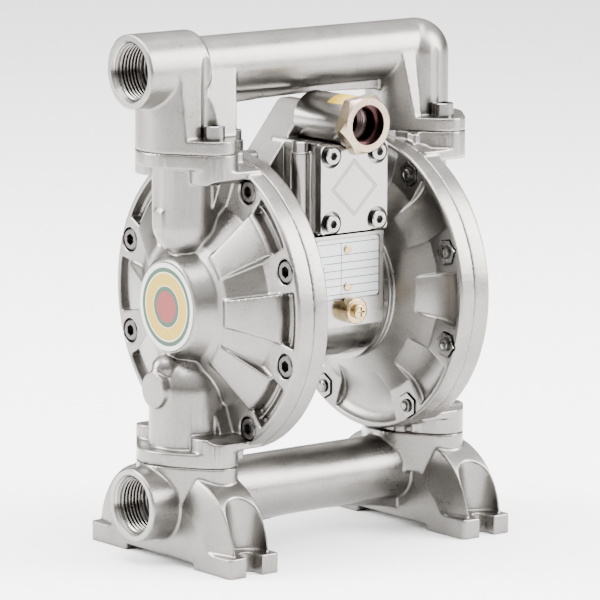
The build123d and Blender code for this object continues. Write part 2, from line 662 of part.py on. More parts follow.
def shaft():
    """Shaft with a stud at each end."""
    shape = along_x(SHAFT_R, -SHAFT_HALF_L, SHAFT_HALF_L, 0, AXIS_Z)
    reach = OUTER_PLATE_X + STUD_ENGAGE - SEAL_GAP
    return shape + along_x(STUD_R, -reach, reach, 0, AXIS_Z)


def shaft_bushes():
    """Plain bushes at both ends of the centre block bore."""
    tube = along_x(SHAFT_R + BUSH_T, CENTRE_HALF_X - BUSH_L, CENTRE_HALF_X, 0, AXIS_Z)
    tube -= along_x(SHAFT_R + RUN_FIT, 0, FAR, 0, AXIS_Z)
    return [tube, other_side(tube)]


def shaft_seals():
    """Lip seals in the air chamber hubs."""
    x0 = CHAMBER_BACK_X + SEAL_L
    ring = along_x(SHAFT_R + SEAL_T + SEAL_GAP, x0, x0 + SEAL_L, 0, AXIS_Z)
    ring -= along_x(SHAFT_R + RUN_FIT, 0, FAR, 0, AXIS_Z)
    return [ring, other_side(ring)]


def pilot_rod():
    """Pilot rod that the air-side plates push at the end of each stroke."""
    return along_x(PILOT_R, -PILOT_HALF_L, PILOT_HALF_L, 0, AXIS_Z + PILOT_OFFSET)


# ---------------------------------------------------------------- ball valves
def valve_seat(x, parting_z):
    """Seat ring centred on a joint, with a conical lip for the ball."""
    z0 = parting_z - SEAT_T / 2
    shape = along_z(SEAT_R, z0, z0 + SEAT_T, x) - along_z(SEAT_BORE_R, z0 - 1, z0 + SEAT_T + 1, x)
    depth = SEAT_LIP_R - SEAT_BORE_R
    shape -= Pos(x, 0, z0 + SEAT_T - depth / 2) * Cone(SEAT_BORE_R, SEAT_LIP_R, depth)
    groove = Pos(x, 0, z0) * Torus(SEAT_R - 3 * SEAT_RING_R, SEAT_RING_R)
    return shape - groove


def seat_ring(x, parting_z):
    """O-ring half sunk in the underside of a seat."""
    z0 = parting_z - SEAT_T / 2
    ring = Pos(x, 0, z0) * Torus(SEAT_R - 3 * SEAT_RING_R, SEAT_RING_R)
    return ring & block(x - FAR, x + FAR, -FAR, FAR, z0, z0 + FAR)


def valve_ball(x, seat_z):
    """Ball resting just above its seat lip."""
    return Pos(x, 0, seat_z + BALL_REST) * Sphere(BALL_R)


# ---------------------------------------------------------------- manifolds
def port_cut(z):
    """Threaded port at -X with its lead-in chamfer."""
    bore = along_x(THREAD_R, -PORT_X - 1, -PORT_X + THREAD_DEPTH, 0, z)
    lead = Pos(-PORT_X + MOUTH_CHAMFER / 2, 0, z) * Rot(0, 90, 0)
    return bore + lead * Cone(THREAD_R + MOUTH_CHAMFER, THREAD_R, MOUTH_CHAMFER)


def neck_faces(x, top_y):
    """Tapered envelope that gives an outlet neck its flat front and back, up to the tube line."""
    outline = [(-NECK_FACE_Y, TOP_PARTING_Z), (NECK_FACE_Y, TOP_PARTING_Z), (top_y, OUTLET_Z), (-top_y, OUTLET_Z)]
    return prism_x(outline, x - OVAL_R, x + OVAL_R)


def outlet_web():
    """Thin arched web under the outlet tube."""
    end_z = OUTLET_Z - WEB_RISE - WEB_SAG
    crown = (0, OUTLET_Z - WEB_RISE)
    arch = ThreePointArc((-NECK_X, end_z), crown, (NECK_X, end_z))
    lid = Polyline((NECK_X, end_z), (NECK_X, OUTLET_Z), (-NECK_X, OUTLET_Z), (-NECK_X, end_z))
    return plate_y([arch] + lid.edges(), WEB_HALF_T)


def outlet_manifold():
    """Top manifold: port boss, left neck, tube, elbow neck and arched web."""
    boss = along_x(PORT_R, -PORT_X, -PORT_BACK_X, 0, OUTLET_Z)
    boss = fillet(boss.edges().filter_by(GeomType.CIRCLE).sort_by(Axis.X)[-1], PORT_BACK_FILLET)
    shape = boss + along_x(OUTLET_TUBE_R, -NECK_X, NECK_X, 0, OUTLET_Z) + outlet_web()
    neck = oval(-NECK_X, TOP_PARTING_Z, OUTLET_Z)
    shape += neck & neck_faces(-NECK_X, OUTLET_TUBE_R)
    port_side = block(-PORT_X, -PORT_BACK_X - PORT_BACK_FILLET, -FAR, FAR, TOP_PARTING_Z, OUTLET_Z)
    shape += neck & neck_faces(-NECK_X, PORT_R) & port_side
    strip = oval(NECK_X, TOP_PARTING_Z, OUTLET_Z) & neck_faces(NECK_X, OUTLET_TUBE_R)
    shape += strip & block(0, NECK_X - STRIP_X, -FAR, FAR, TOP_PARTING_Z, OUTLET_Z)
    corner_z = OUTLET_Z + OUTLET_TUBE_R - ELBOW_R
    shape += along_z(ELBOW_R, TOP_PARTING_Z, corner_z, NECK_X)
    shape += Pos(NECK_X, 0, corner_z) * Sphere(ELBOW_R)
    for x in (-NECK_X, NECK_X):
        shape += oval(x, TOP_PARTING_Z, CAP_TOP_Z)
    shape -= port_cut(OUTLET_Z)
    shape -= along_x(PASSAGE_R, -PORT_X + THREAD_DEPTH - 1, NECK_X, 0, OUTLET_Z)
    shape -= Pos(NECK_X, 0, OUTLET_Z) * Sphere(PASSAGE_R)
    for x in (-NECK_X, NECK_X):
        shape -= along_z(SEAT_R + SEAT_FIT, TOP_PARTING_Z - 1, TOP_SEAT_Z, x)
        shape -= along_z(BALL_CHAMBER_R, TOP_SEAT_Z, TOP_SEAT_Z + BALL_STOP, x)
        shape -= along_z(NECK_BORE_R, TOP_SEAT_Z, OUTLET_Z, x)
        for side in (-1, 1):
            shape -= along_z(CAP_R + CAP_GAP, TOP_PARTING_Z - 1, FAR, x, side * EAR_Y)
            shape -= along_z(CAP_HEAD_R + GROOVE_GAP, CAP_TOP_Z, FAR, x, side * EAR_Y)
    return shape


def foot_section(x, top_y, top_z, mid_y, mid_z, end_y, lid):
    """Arched outline of a foot bracket at one X station, from its top down to the pads."""
    front = ThreePointArc((-top_y, top_z), (-mid_y, mid_z), (-end_y, FOOT_T))
    back = ThreePointArc((end_y, FOOT_T), (mid_y, mid_z), (top_y, top_z))
    base = Polyline((-end_y, FOOT_T), (-end_y, FOOT_ARCH), (end_y, FOOT_ARCH), (end_y, FOOT_T))
    cap = Polyline((top_y, top_z), (top_y, top_z + lid), (-top_y, top_z + lid), (-top_y, top_z))
    return Plane.YZ.offset(x) * make_face([front, back] + base.edges() + cap.edges())


def foot_bracket(x):
    """Middle wall of a foot with a scooped flank on each side that falls to the pads."""
    wall_top = BOTTOM_PARTING_Z - 1 - BODY_LID
    wall = (BODY_TOP_Y, wall_top, BODY_MID_Y, BODY_MID_Z, BODY_END_Y, BODY_LID)
    rim = (WEDGE_TOP_Y, WEDGE_TOP_Z, WEDGE_MID_Y, WEDGE_MID_Z, WEDGE_END_Y, WEDGE_LID)
    shape = extrude(foot_section(x - BODY_HALF_W, *wall), 2 * BODY_HALF_W)
    for side in (-1, 1):
        inner = foot_section(x + side * BODY_HALF_W, *wall)
        outer = foot_section(x + side * FOOT_W / 2, *rim)
        shape += loft([inner, outer], ruled=True)
    return shape


def foot(x):
    """One foot bracket with two slotted pads and the oval column of its joint."""
    shape = foot_bracket(x)
    for side in (-1, 1):
        pad = block(x - FOOT_W / 2, x + FOOT_W / 2, side * FOOT_INNER_Y, side * FOOT_Y, 0, FOOT_T)
        outer = pad.edges().filter_by(Axis.Z).sort_by(Axis.Y)
        pad = fillet(outer[-2:] if side > 0 else outer[:2], FOOT_CORNER_R)
        shape += pad
    for side in (-1, 1):
        shape -= along_z(WASHER_R, FOOT_T, FAR, x, side * SLOT_Y)
        shape -= along_z(SLOT_R, -1, FOOT_T + 1, x, side * SLOT_Y)
        shape -= block(x - SLOT_R, x + SLOT_R, side * SLOT_Y, side * (FOOT_Y + 1), -1, FOOT_T + 1)
    return shape


def inlet_skirt():
    """Arched skirt under the inlet tube."""
    crown = (0, INLET_Z - SKIRT_DROP)
    end_x = FOOT_X - FOOT_W / 2
    end_z = INLET_Z - SKIRT_DROP - SKIRT_SAG
    arch = ThreePointArc((-end_x, end_z), crown, (end_x, end_z))
    lid = Polyline((end_x, end_z), (end_x, INLET_Z), (-end_x, INLET_Z), (-end_x, end_z))
    return plate_y([arch] + lid.edges(), SKIRT_HALF_T)


def inlet_casting():
    """Bottom manifold whole: port boss, tube, arched skirt and both footed brackets."""
    shape = along_x(INLET_TUBE_R, -NECK_X, NECK_X, 0, INLET_Z) + inlet_skirt()
    shape += along_x(PORT_R, -PORT_X, -NECK_X, 0, INLET_Z)
    for side in (-1, 1):
        shape += foot(side * FOOT_X)
        shape += oval(side * NECK_X, INLET_Z, BOTTOM_PARTING_Z)
        for end in (-1, 1):
            shape += along_z(EAR_R, FOOT_T, INLET_Z, side * NECK_X, end * EAR_Y)
    shape -= port_cut(INLET_Z)
    shape -= along_x(PASSAGE_R, -PORT_X + THREAD_DEPTH - 1, NECK_X, 0, INLET_Z)
    shape -= Pos(NECK_X, 0, INLET_Z) * Sphere(PASSAGE_R)
    for x in (-NECK_X, NECK_X):
        shape -= along_z(NECK_BORE_R, INLET_Z, BOTTOM_PARTING_Z + 1, x)
        shape -= along_z(SEAT_R + SEAT_FIT, BOTTOM_PARTING_Z - SEAT_T / 2, BOTTOM_PARTING_Z + 1, x)
        for side in (-1, 1):
            shape -= along_z(CAP_R + CAP_GAP, 0, BOTTOM_PARTING_Z + 1, x, side * EAR_Y)
            shape -= along_z(CAP_HEAD_R + CAP_GAP, -1, CAP_BOTTOM_Z, x, side * EAR_Y)
    return shape


def inlet_manifold():
    """Bottom manifold as simple forms that meet face to face: middle tube, then each foot in three."""
    whole = inlet_casting()
    face_x = FOOT_X - FOOT_W / 2
    pieces = [whole & block(-face_x, face_x, -FAR, FAR, -1, FAR)]
    for x0, x1 in ((-FAR, -face_x), (face_x, FAR)):
        end = whole & block(x0, x1, -FAR, FAR, -1, FAR)
        for y0, y1 in ((-FAR, -FOOT_INNER_Y), (-FOOT_INNER_Y, FOOT_INNER_Y), (FOOT_INNER_Y, FAR)):
            pieces.append(end & block(x0, x1, y0, y1, -1, FAR))
    return pieces


def outlet_screws():
    """Screws of the top manifold, heads up."""
    screw = socket_screw(CAP_R, MANIFOLD_FLANGE_T + CAP_ENGAGE, CAP_HEAD_R, CAP_HEAD_H)
    return [Pos(x, side * EAR_Y, CAP_TOP_Z) * screw for x in (-NECK_X, NECK_X) for side in (-1, 1)]


def inlet_screws():
    """Screws of the bottom manifold, driven from below."""
    length = BOTTOM_PARTING_Z - CAP_BOTTOM_Z + CAP_ENGAGE
    screw = Rot(180, 0, 0) * socket_screw(CAP_R, length, CAP_HEAD_R, CAP_HEAD_H)
    return [Pos(x, side * EAR_Y, CAP_BOTTOM_Z) * screw for x in (-NECK_X, NECK_X) for side in (-1, 1)]


# ---------------------------------------------------------------- centre block and air valve
def centre_block():
    """Centre block: round body, end rings, front boss, saddle and exhaust boss."""
    shape = along_x(BLOCK_R, -CENTRE_HALF_X, CENTRE_HALF_X, 0, AXIS_Z)
    for side in (-1, 1):
        ring_in = side * (CENTRE_HALF_X - CENTRE_RING_T)
        shape += along_x(CENTRE_RING_R, ring_in, side * CENTRE_HALF_X, 0, AXIS_Z)
    shape += block(-BOSS_HALF_X, BOSS_HALF_X, -BOSS_FACE_Y, 0, BOSS_BOTTOM_Z, BLOCK_TOP_Z)
    shape += block(-CENTRE_HALF_X, CENTRE_HALF_X, -SADDLE_HALF_Y, SADDLE_HALF_Y, AXIS_Z, BLOCK_TOP_Z)
    shape += along_y(EXHAUST_BOSS_R, 0, EXHAUST_BOSS_Y, 0, EXHAUST_Z)
    shape -= block(-FAR, FAR, -FAR, FAR, BLOCK_TOP_Z, BLOCK_TOP_Z + FAR)
    shape -= name_plate_blank(PLATE_FRAME, -BOSS_FACE_Y - 1, -BOSS_FACE_Y + PLATE_T)
    shape -= along_x(SHAFT_R + BUSH_T, -FAR, FAR, 0, AXIS_Z)
    shape -= along_x(PILOT_R + SEAL_GAP, -FAR, FAR, 0, AXIS_Z + PILOT_OFFSET)
    shape -= along_y(EXHAUST_STEM_R, EXHAUST_BOSS_Y - EXHAUST_STEM_L, FAR, 0, EXHAUST_Z)
    shape -= along_y(EARTH_SCREW_R, -FAR, -BOSS_FACE_Y + 2 * EARTH_SCREW_R, 0, EARTH_Z)
    for z in rivet_heights():
        shape -= along_y(RIVET_R, -FAR, -BOSS_FACE_Y + PLATE_T + RIVET_L, PLATE_X, z)
    depth = 4 * CHAMBER_SCREW_R + 1
    for y, z in chamber_screw_places():
        shape -= along_x(CHAMBER_SCREW_R, CENTRE_HALF_X - depth, FAR, y, z)
        shape -= along_x(CHAMBER_SCREW_R, -FAR, depth - CENTRE_HALF_X, y, z)
    for x, y in column_places():
        shape -= along_z(BODY_SCREW_R, BLOCK_TOP_Z - BODY_SCREW_ENGAGE - 1, FAR, x, y)
    return shape


def name_plate_blank(margin, y0, y1):
    """Rounded rectangle of the name plate, grown by a margin."""
    half_w = PLATE_HALF_W + margin
    plate = block(PLATE_X - half_w, PLATE_X + half_w, y0, y1, PLATE_BOTTOM_Z - margin, PLATE_TOP_Z + margin)
    return fillet(plate.edges().filter_by(Axis.Y), PLATE_CORNER_R)


def rivet_heights():
    """Heights of the two name plate rivets."""
    return PLATE_BOTTOM_Z + RIVET_EDGE, PLATE_TOP_Z - RIVET_EDGE


def name_plate():
    """Thin plate in the recess of the front boss."""
    plate = name_plate_blank(0, -BOSS_FACE_Y, -BOSS_FACE_Y + PLATE_T)
    for z in rivet_heights():
        plate -= along_y(RIVET_R + RUN_FIT, -FAR, FAR, PLATE_X, z)
    return plate


def name_plate_rivets():
    """Two drive rivets with low round heads."""
    rivets = []
    for z in rivet_heights():
        pin = along_y(RIVET_R, -BOSS_FACE_Y - 0.2, -BOSS_FACE_Y + PLATE_T + RIVET_L - 0.3, PLATE_X, z)
        head = along_y(1.5 * RIVET_R, -BOSS_FACE_Y - 1.0, -BOSS_FACE_Y, PLATE_X, z)
        head = fillet(head.edges().sort_by(Axis.Y)[0], 0.7)
        rivets.append(pin + head)
    return rivets


def earth_terminal():
    """Round earth terminal on the front boss."""
    shape = along_y(EARTH_R, -BOSS_FACE_Y - EARTH_L, -BOSS_FACE_Y, 0, EARTH_Z)
    shape = fillet(shape.edges().sort_by(Axis.Y)[0], 1.2)
    return shape - along_y(EARTH_SCREW_R + RUN_FIT, -FAR, 0, 0, EARTH_Z)


def earth_screw():
    """Pan head screw with a cross recess."""
    head_y = -BOSS_FACE_Y - EARTH_L
    head = along_y(EARTH_HEAD_R, head_y - EARTH_HEAD_H, head_y, 0, EARTH_Z)
    head = fillet(head.edges().sort_by(Axis.Y)[0], 1.1)
    shape = head + along_y(EARTH_SCREW_R, head_y, -BOSS_FACE_Y + EARTH_SCREW_R, 0, EARTH_Z)
    slot = EARTH_HEAD_R * 0.65
    half = EARTH_HEAD_R * 0.13
    for w, h in ((slot, half), (half, slot)):
        shape -= block(-w, w, head_y - 2 * EARTH_HEAD_H, head_y - EARTH_HEAD_H / 2, EARTH_Z - h, EARTH_Z + h)
    return shape


def column_places():
    """(x, y) of the vertical screws that hold the valve body down."""
    return [(sx * COLUMN_X, sy * COLUMN_Y) for sx in (-1, 1) for sy in (-1, 1)]


def tower():
    """Gable-shaped air inlet tower with a rounded ridge."""
    foot_z = BLOCK_TOP_Z + GASKET_T
    outline = Polyline((-TOWER_TOP_X, TOWER_TOP_Z), (-TOWER_SHOULDER_X, TOWER_SHOULDER_Z), (-TOWER_FOOT_X, foot_z),
                       (TOWER_FOOT_X, foot_z), (TOWER_SHOULDER_X, TOWER_SHOULDER_Z), (TOWER_TOP_X, TOWER_TOP_Z),
                       close=True)
    shape = extrude(Plane.XZ.offset(-TOWER_BACK_Y) * make_face(outline), TOWER_BACK_Y + TOWER_FRONT_Y)
    return fillet(shape.edges().filter_by(Axis.Y).sort_by(Axis.Z)[-2:], 0.9 * TOWER_TOP_X)


def valve_body():
    """Valve body: saddle plate, spool housing, screw columns and inlet tower."""
    base = BLOCK_TOP_Z + GASKET_T
    shape = block(-CENTRE_HALF_X, CENTRE_HALF_X, -SADDLE_HALF_Y, SADDLE_HALF_Y, base, base + SADDLE_T)
    shape += block(-VALVE_HALF_X, VALVE_HALF_X, -VALVE_FACE_Y, 0, base, VALVE_TOP_Z)
    shape += tower()
    for x, y in column_places():
        shape += along_z(COLUMN_R, base, COLUMN_TOP_Z, x, y)
    shape -= along_y(SLEEVE_R + RUN_FIT, -FAR, -VALVE_FACE_Y + SLEEVE_L, 0, VALVE_Z)
    shape -= along_y(FITTING_R + FITTING_GAP, -FAR, -FITTING_BACK_Y, 0, AIR_Z)
    shape -= along_y(AIR_WAY_R, -FAR, 0, 0, AIR_Z)
    for x, y in column_places():
        shape -= along_z(BODY_SCREW_R + BOLT_HOLE_GAP, 0, FAR, x, y)
        shape -= along_z(BODY_SCREW_HEAD_R + COLUMN_HEAD_GAP, COLUMN_TOP_Z, FAR, x, y)
    for x, z in cover_screw_places():
        shape -= along_y(COVER_SCREW_R, -FAR, -VALVE_FACE_Y + COVER_SCREW_L, x, z)
    return shape


def body_gasket():
    """Gasket between the centre block and the valve body."""
    shape = block(-CENTRE_HALF_X, CENTRE_HALF_X, -SADDLE_HALF_Y, SADDLE_HALF_Y, BLOCK_TOP_Z, BLOCK_TOP_Z + GASKET_T)
    for x, y in column_places():
        shape -= along_z(BODY_SCREW_R + BOLT_HOLE_GAP, 0, FAR, x, y)
    return shape


def valve_body_screws():
    """Vertical socket screws on the four columns."""
    length = COLUMN_TOP_Z - BLOCK_TOP_Z + BODY_SCREW_ENGAGE
    screw = socket_screw(BODY_SCREW_R - RUN_FIT, length, BODY_SCREW_HEAD_R, BODY_SCREW_HEAD_H)
    return [Pos(x, y, COLUMN_TOP_Z) * screw for x, y in column_places()]


def cover_screw_places():
    """(x, z) of the valve cover screws."""
    return [(sx * COVER_SCREW_X, VALVE_Z + sz * COVER_SCREW_DZ) for sx in (-1, 1) for sz in (-1, 1)]


def front_plate(y0, y1):
    """Outline shared by the valve cover and its gasket, cut round the air inlet fitting."""
    shape = block(-COVER_PLATE_HALF_X, COVER_PLATE_HALF_X, y0, y1,
                  VALVE_Z - COVER_PLATE_HALF_Z, VALVE_Z + COVER_PLATE_HALF_Z)
    shape = fillet(shape.edges().filter_by(Axis.Y), PLATE_CORNER_R)
    shape -= along_y(FITTING_R + FITTING_GAP, -FAR, FAR, 0, AIR_Z)
    for x, z in cover_screw_places():
        shape -= along_y(COVER_SCREW_R + BOLT_HOLE_GAP, -FAR, FAR, x, z)
    return shape


def valve_cover():
    """Square valve cover with round screw seats at its corners."""
    front = -VALVE_PLATE_Y - COVER_PLATE_T
    shape = front_plate(front, -VALVE_PLATE_Y)
    for x, z in cover_screw_places():
        shape -= along_y(COVER_NOTCH_R, -FAR, front + COVER_NOTCH_DEPTH, x, z)
    return shape


def valve_cover_gasket():
    """Gasket behind the valve cover."""
    return front_plate(-VALVE_PLATE_Y, -VALVE_FACE_Y)


def valve_cover_screws():
    """Four socket screws of the valve cover."""
    seat = -VALVE_PLATE_Y - COVER_PLATE_T + COVER_NOTCH_DEPTH
    screw = socket_screw(COVER_SCREW_R - RUN_FIT, COVER_SCREW_L, COVER_SCREW_HEAD_R, COVER_SCREW_HEAD_H)
    return [Pos(x, seat, z) * Rot(90, 0, 0) * screw for x, z in cover_screw_places()]


def valve_sleeve():
    """Ported sleeve pressed into the valve body."""
    y0 = -VALVE_FACE_Y
    shape = along_y(SLEEVE_R, y0, y0 + SLEEVE_L, 0, VALVE_Z)
    shape -= along_y(SLEEVE_R - SLEEVE_T + RUN_FIT, -FAR, FAR, 0, VALVE_Z)
    for step in range(1, 5):
        shape -= along_x(1.8, -SLEEVE_R - 1, SLEEVE_R + 1, y0 + step * SLEEVE_L / 5, VALVE_Z)
    return shape


def land_starts():
    """Y stations where the lands of the spool begin."""
    pitch = (SPOOL_L - LAND_L) / (SPOOL_LANDS - 1)
    return [SPOOL_FRONT_Y + step * pitch for step in range(SPOOL_LANDS)]


def valve_spool():
    """Spool with a ring groove in each land."""
    radius = SLEEVE_R - SLEEVE_T
    shape = along_y(SPOOL_NECK_R, SPOOL_FRONT_Y, SPOOL_FRONT_Y + SPOOL_L, 0, VALVE_Z)
    for y0 in land_starts():
        land = along_y(radius, y0, y0 + LAND_L, 0, VALVE_Z)
        mid = y0 + LAND_L / 2
        groove = along_y(radius + 1, mid - RING_GROOVE_W / 2, mid + RING_GROOVE_W / 2, 0, VALVE_Z)
        groove -= along_y(radius - RING_GROOVE_D, -FAR, FAR, 0, VALVE_Z)
        shape += land - groove
    return shape


def spool_rings():
    """Sealing rings in the spool grooves."""
    radius = SLEEVE_R - SLEEVE_T
    rings = []
    for y0 in land_starts():
        mid = y0 + LAND_L / 2
        ring = along_y(radius, mid - RING_GROOVE_W / 2, mid + RING_GROOVE_W / 2, 0, VALVE_Z)
        rings.append(ring - along_y(radius - RING_GROOVE_D, -FAR, FAR, 0, VALVE_Z))
    return rings


def air_inlet_fitting():
    """Air inlet fitting: round body with a chamfered hexagon and a threaded bore."""
    hex_front = FITTING_FRONT_Y + HEX_L
    shape = along_y(FITTING_R, -FITTING_FRONT_Y, -FITTING_BACK_Y, 0, AIR_Z)
    nut = Pos(0, -FITTING_FRONT_Y, AIR_Z) * Rot(90, 0, 0) * Rot(0, 0, HEX_TURN) * hexagon_prism(HEX_AF, HEX_L)
    corner_r = HEX_AF / sqrt(3) + 0.5
    flat_r = HEX_AF / 2 - 0.4
    dish = Polyline((0, 0), (0, flat_r), (corner_r - flat_r, corner_r), (HEX_L, corner_r), (HEX_L, 0), close=True)
    turned_dish = Pos(0, -hex_front, AIR_Z) * Rot(0, 0, 90) * revolve(make_face(dish), Axis.X)
    shape += nut & turned_dish
    shape -= along_y(AIR_BORE_R, -hex_front - 1, -hex_front + AIR_BORE_DEPTH, 0, AIR_Z)
    shape -= along_y(AIR_THREAD_R, -hex_front, -hex_front + AIR_BORE_DEPTH + AIR_THREAD_L, 0, AIR_Z)
    shape -= along_y(AIR_WAY_R, -hex_front, 0, 0, AIR_Z)
    return shape


def exhaust_silencer():
    """Ribbed silencer screwed into the back of the centre block."""
    y0 = EXHAUST_BOSS_Y
    shape = along_y(EXHAUST_R, y0, y0 + EXHAUST_L, 0, EXHAUST_Z)
    shape = fillet(shape.edges().sort_by(Axis.Y)[-1], 3)
    shape += along_y(EXHAUST_STEM_R - RUN_FIT, y0 - EXHAUST_STEM_L + SEAL_GAP, y0, 0, EXHAUST_Z)
    pitch = (EXHAUST_L - 6) / EXHAUST_RIBS
    for step in range(EXHAUST_RIBS):
        mid = y0 + 4 + step * pitch
        groove = along_y(EXHAUST_R + 1, mid, mid + pitch / 2, 0, EXHAUST_Z)
        shape -= groove - along_y(EXHAUST_R - 1.4, -FAR, FAR, 0, EXHAUST_Z)
    return shape


# ---------------------------------------------------------------- assembly
def pair(nodes, name, build):
    """Add the +X piece and its mirror image as two nodes."""
    shapes = build()
    pieces = shapes if isinstance(shapes, list) else [shapes]
    nodes[name + "_right"] = pieces
    nodes[name + "_left"] = [other_side(piece) for piece in pieces]


def single(nodes, name, shapes):
    """Add one node made of one or several solids."""
    nodes[name] = shapes if isinstance(shapes, list) else [shapes]


def assembly():
    """All nodes of the pump by name."""
    nodes = {}
    for name, build in (
        ("fluid_cover", fluid_cover), ("air_chamber", air_chamber), ("cover_bolts", cover_bolts),
        ("cover_nuts", cover_nuts), ("badge", badge), ("chamber_gasket", chamber_gasket),
        ("chamber_screws", chamber_screws), ("diaphragm", diaphragm), ("outer_plate", outer_plate),
        ("inner_plate", inner_plate),
    ):
        pair(nodes, name, build)
    for name, build in (
        ("outlet_manifold", outlet_manifold), ("inlet_manifold", inlet_manifold),
        ("outlet_screws", outlet_screws), ("inlet_screws", inlet_screws), ("shaft", shaft),
        ("shaft_bushes", shaft_bushes), ("shaft_seals", shaft_seals), ("pilot_rod", pilot_rod),
        ("centre_block", centre_block), ("name_plate", name_plate), ("name_plate_rivets", name_plate_rivets),
        ("earth_terminal", earth_terminal), ("earth_screw", earth_screw), ("valve_body", valve_body),
        ("valve_body_gasket", body_gasket), ("valve_body_screws", valve_body_screws),
        ("valve_cover", valve_cover), ("valve_cover_gasket", valve_cover_gasket),
        ("valve_cover_screws", valve_cover_screws), ("valve_sleeve", valve_sleeve),
        ("valve_spool", valve_spool), ("spool_rings", spool_rings),
        ("air_inlet_fitting", air_inlet_fitting), ("exhaust_silencer", exhaust_silencer),
    ):
        single(nodes, name, build())
    for side, x in (("left", -NECK_X), ("right", NECK_X)):
        single(nodes, "inlet_seat_" + side, valve_seat(x, BOTTOM_PARTING_Z))
        single(nodes, "outlet_seat_" + side, valve_seat(x, TOP_PARTING_Z))
        single(nodes, "inlet_ball_" + side, valve_ball(x, BOTTOM_SEAT_Z))
        single(nodes, "outlet_ball_" + side, valve_ball(x, TOP_SEAT_Z))
    rings = [seat_ring(x, z) for x in (-NECK_X, NECK_X) for z in (BOTTOM_PARTING_Z, TOP_PARTING_Z)]
    single(nodes, "seat_rings", rings)
    return nodes


os.makedirs("parts", exist_ok=True)
for node_name, solids in assembly().items():
    shape = solids[0] if len(solids) == 1 else Compound(children=solids)
    export_step(shape, "parts/" + node_name + ".step")
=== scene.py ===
"""Dresses the air operated double diaphragm pump: castings, fastenings, plates, floor, light and camera."""

import json
import logging
import math
from dataclasses import dataclass
from enum import Enum
from typing import Sequence

import bpy
import numpy as np
from mathutils import Matrix, Vector


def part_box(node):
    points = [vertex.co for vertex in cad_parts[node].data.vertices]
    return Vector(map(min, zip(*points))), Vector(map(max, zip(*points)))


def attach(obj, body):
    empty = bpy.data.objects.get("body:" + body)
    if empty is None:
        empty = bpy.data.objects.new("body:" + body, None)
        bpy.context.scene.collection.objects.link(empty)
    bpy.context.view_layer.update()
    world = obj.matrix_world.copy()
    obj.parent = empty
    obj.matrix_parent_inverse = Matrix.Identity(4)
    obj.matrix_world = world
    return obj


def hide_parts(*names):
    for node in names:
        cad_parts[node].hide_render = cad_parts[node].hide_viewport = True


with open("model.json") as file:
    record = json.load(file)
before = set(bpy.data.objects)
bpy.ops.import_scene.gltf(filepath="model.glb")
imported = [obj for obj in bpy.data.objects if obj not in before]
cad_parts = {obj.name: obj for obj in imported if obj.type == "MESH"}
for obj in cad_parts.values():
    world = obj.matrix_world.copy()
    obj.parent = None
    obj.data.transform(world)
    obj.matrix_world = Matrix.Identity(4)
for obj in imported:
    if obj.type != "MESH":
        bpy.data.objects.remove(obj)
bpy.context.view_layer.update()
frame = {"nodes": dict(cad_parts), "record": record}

LOG = logging.getLogger("pump")
MM = 0.001
HOUSING = "housing"
Colour = tuple[float, float, float]
Point = tuple[float, float, float]
Span = tuple[float, float]
Socket = bpy.types.NodeSocket
Feed = Socket | float | Colour

# Places that the frame gives, in millimetres.
MOUNT_Z = {mount["name"]: mount["pos_m"][2] / MM for mount in frame["record"]["mounts"]}
OUTLET_Z = MOUNT_Z["outlet_port"]
INLET_Z = MOUNT_Z["inlet_port"]
AIR_INLET_Z = MOUNT_Z["air_inlet"]
AXIS_Z = sum(corner.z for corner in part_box("cover_nuts_left")) / 2 / MM
NUT_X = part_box("cover_nuts_right")[0].x / MM
MOUTH_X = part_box("outlet_manifold")[0].x / MM

FACE_X = MOUTH_X + 0.02    # machined faces of both ports, just inside their mouths

TINY = 1e-6                # radius that counts as none
NEAR_UPRIGHT = 0.9         # Z of a unit vector above which it counts as upright
RELAX_FACTOR = 0.5         # how far one round of smoothing moves a point towards its neighbours


class Slot(str, Enum):
    """Material slots of the record; no piece in this script takes its finish from them."""

    CAST = "cast_steel"
    MACHINED = "machined_steel"
    BADGE = "badge_face"


class Effect(str, Enum):
    """Effects that several finishes share, each a node group."""

    BLASTED_GRAIN = "blasted_grain"
    # Painted highlight on outer edges, from pointiness.
    PAINTED_HIGHLIGHT = "edge_wear"
    # Painted shade in gaps and inner corners, from ambient occlusion.
    CREVICE = "crevice"
    BAND = "band"
    POLAR = "polar"
    LATHE_MARKS = "lathe_marks"


class Operation(str, Enum):
    """Operations of the shader's math nodes."""

    ADD = "ADD"
    SUBTRACT = "SUBTRACT"
    MULTIPLY = "MULTIPLY"
    POWER = "POWER"
    SQRT = "SQRT"
    ABSOLUTE = "ABSOLUTE"
    MAXIMUM = "MAXIMUM"
    LESS_THAN = "LESS_THAN"


# ---------------------------------------------------------------- mesh work
def make_object(
    name: str, verts: Sequence[Point | Vector], faces: Sequence[Sequence[int]], smooth: bool = True
) -> bpy.types.Object:
    """Makes a mesh object and links it to the scene.

    Args:
        name: Name of the new piece.
        verts: Corner points in metres.
        faces: Corner numbers of each face.
        smooth: True for smooth shading.

    Returns:
        The new object.
    """
    mesh = bpy.data.meshes.new(name)
    mesh.from_pydata([tuple(v) for v in verts], [], [tuple(f) for f in faces])
    mesh.validate()
    mesh.polygons.foreach_set("use_smooth", [smooth] * len(mesh.polygons))
    mesh.update()
    piece = bpy.data.objects.new(name, mesh)
    bpy.context.collection.objects.link(piece)
    return piece


def basis(axis: Vector) -> tuple[Vector, Vector, Vector]:
    """Right-handed frame whose first vector is the given axis.

    Args:
        axis: Direction of the first vector.

    Returns:
        The axis and two unit vectors square to it.
    """
    first = axis.normalized()
    helper = Vector((0, 0, 1)) if abs(first.z) < NEAR_UPRIGHT else Vector((0, 1, 0))
    second = helper.cross(first).normalized()
    return first, second, first.cross(second)


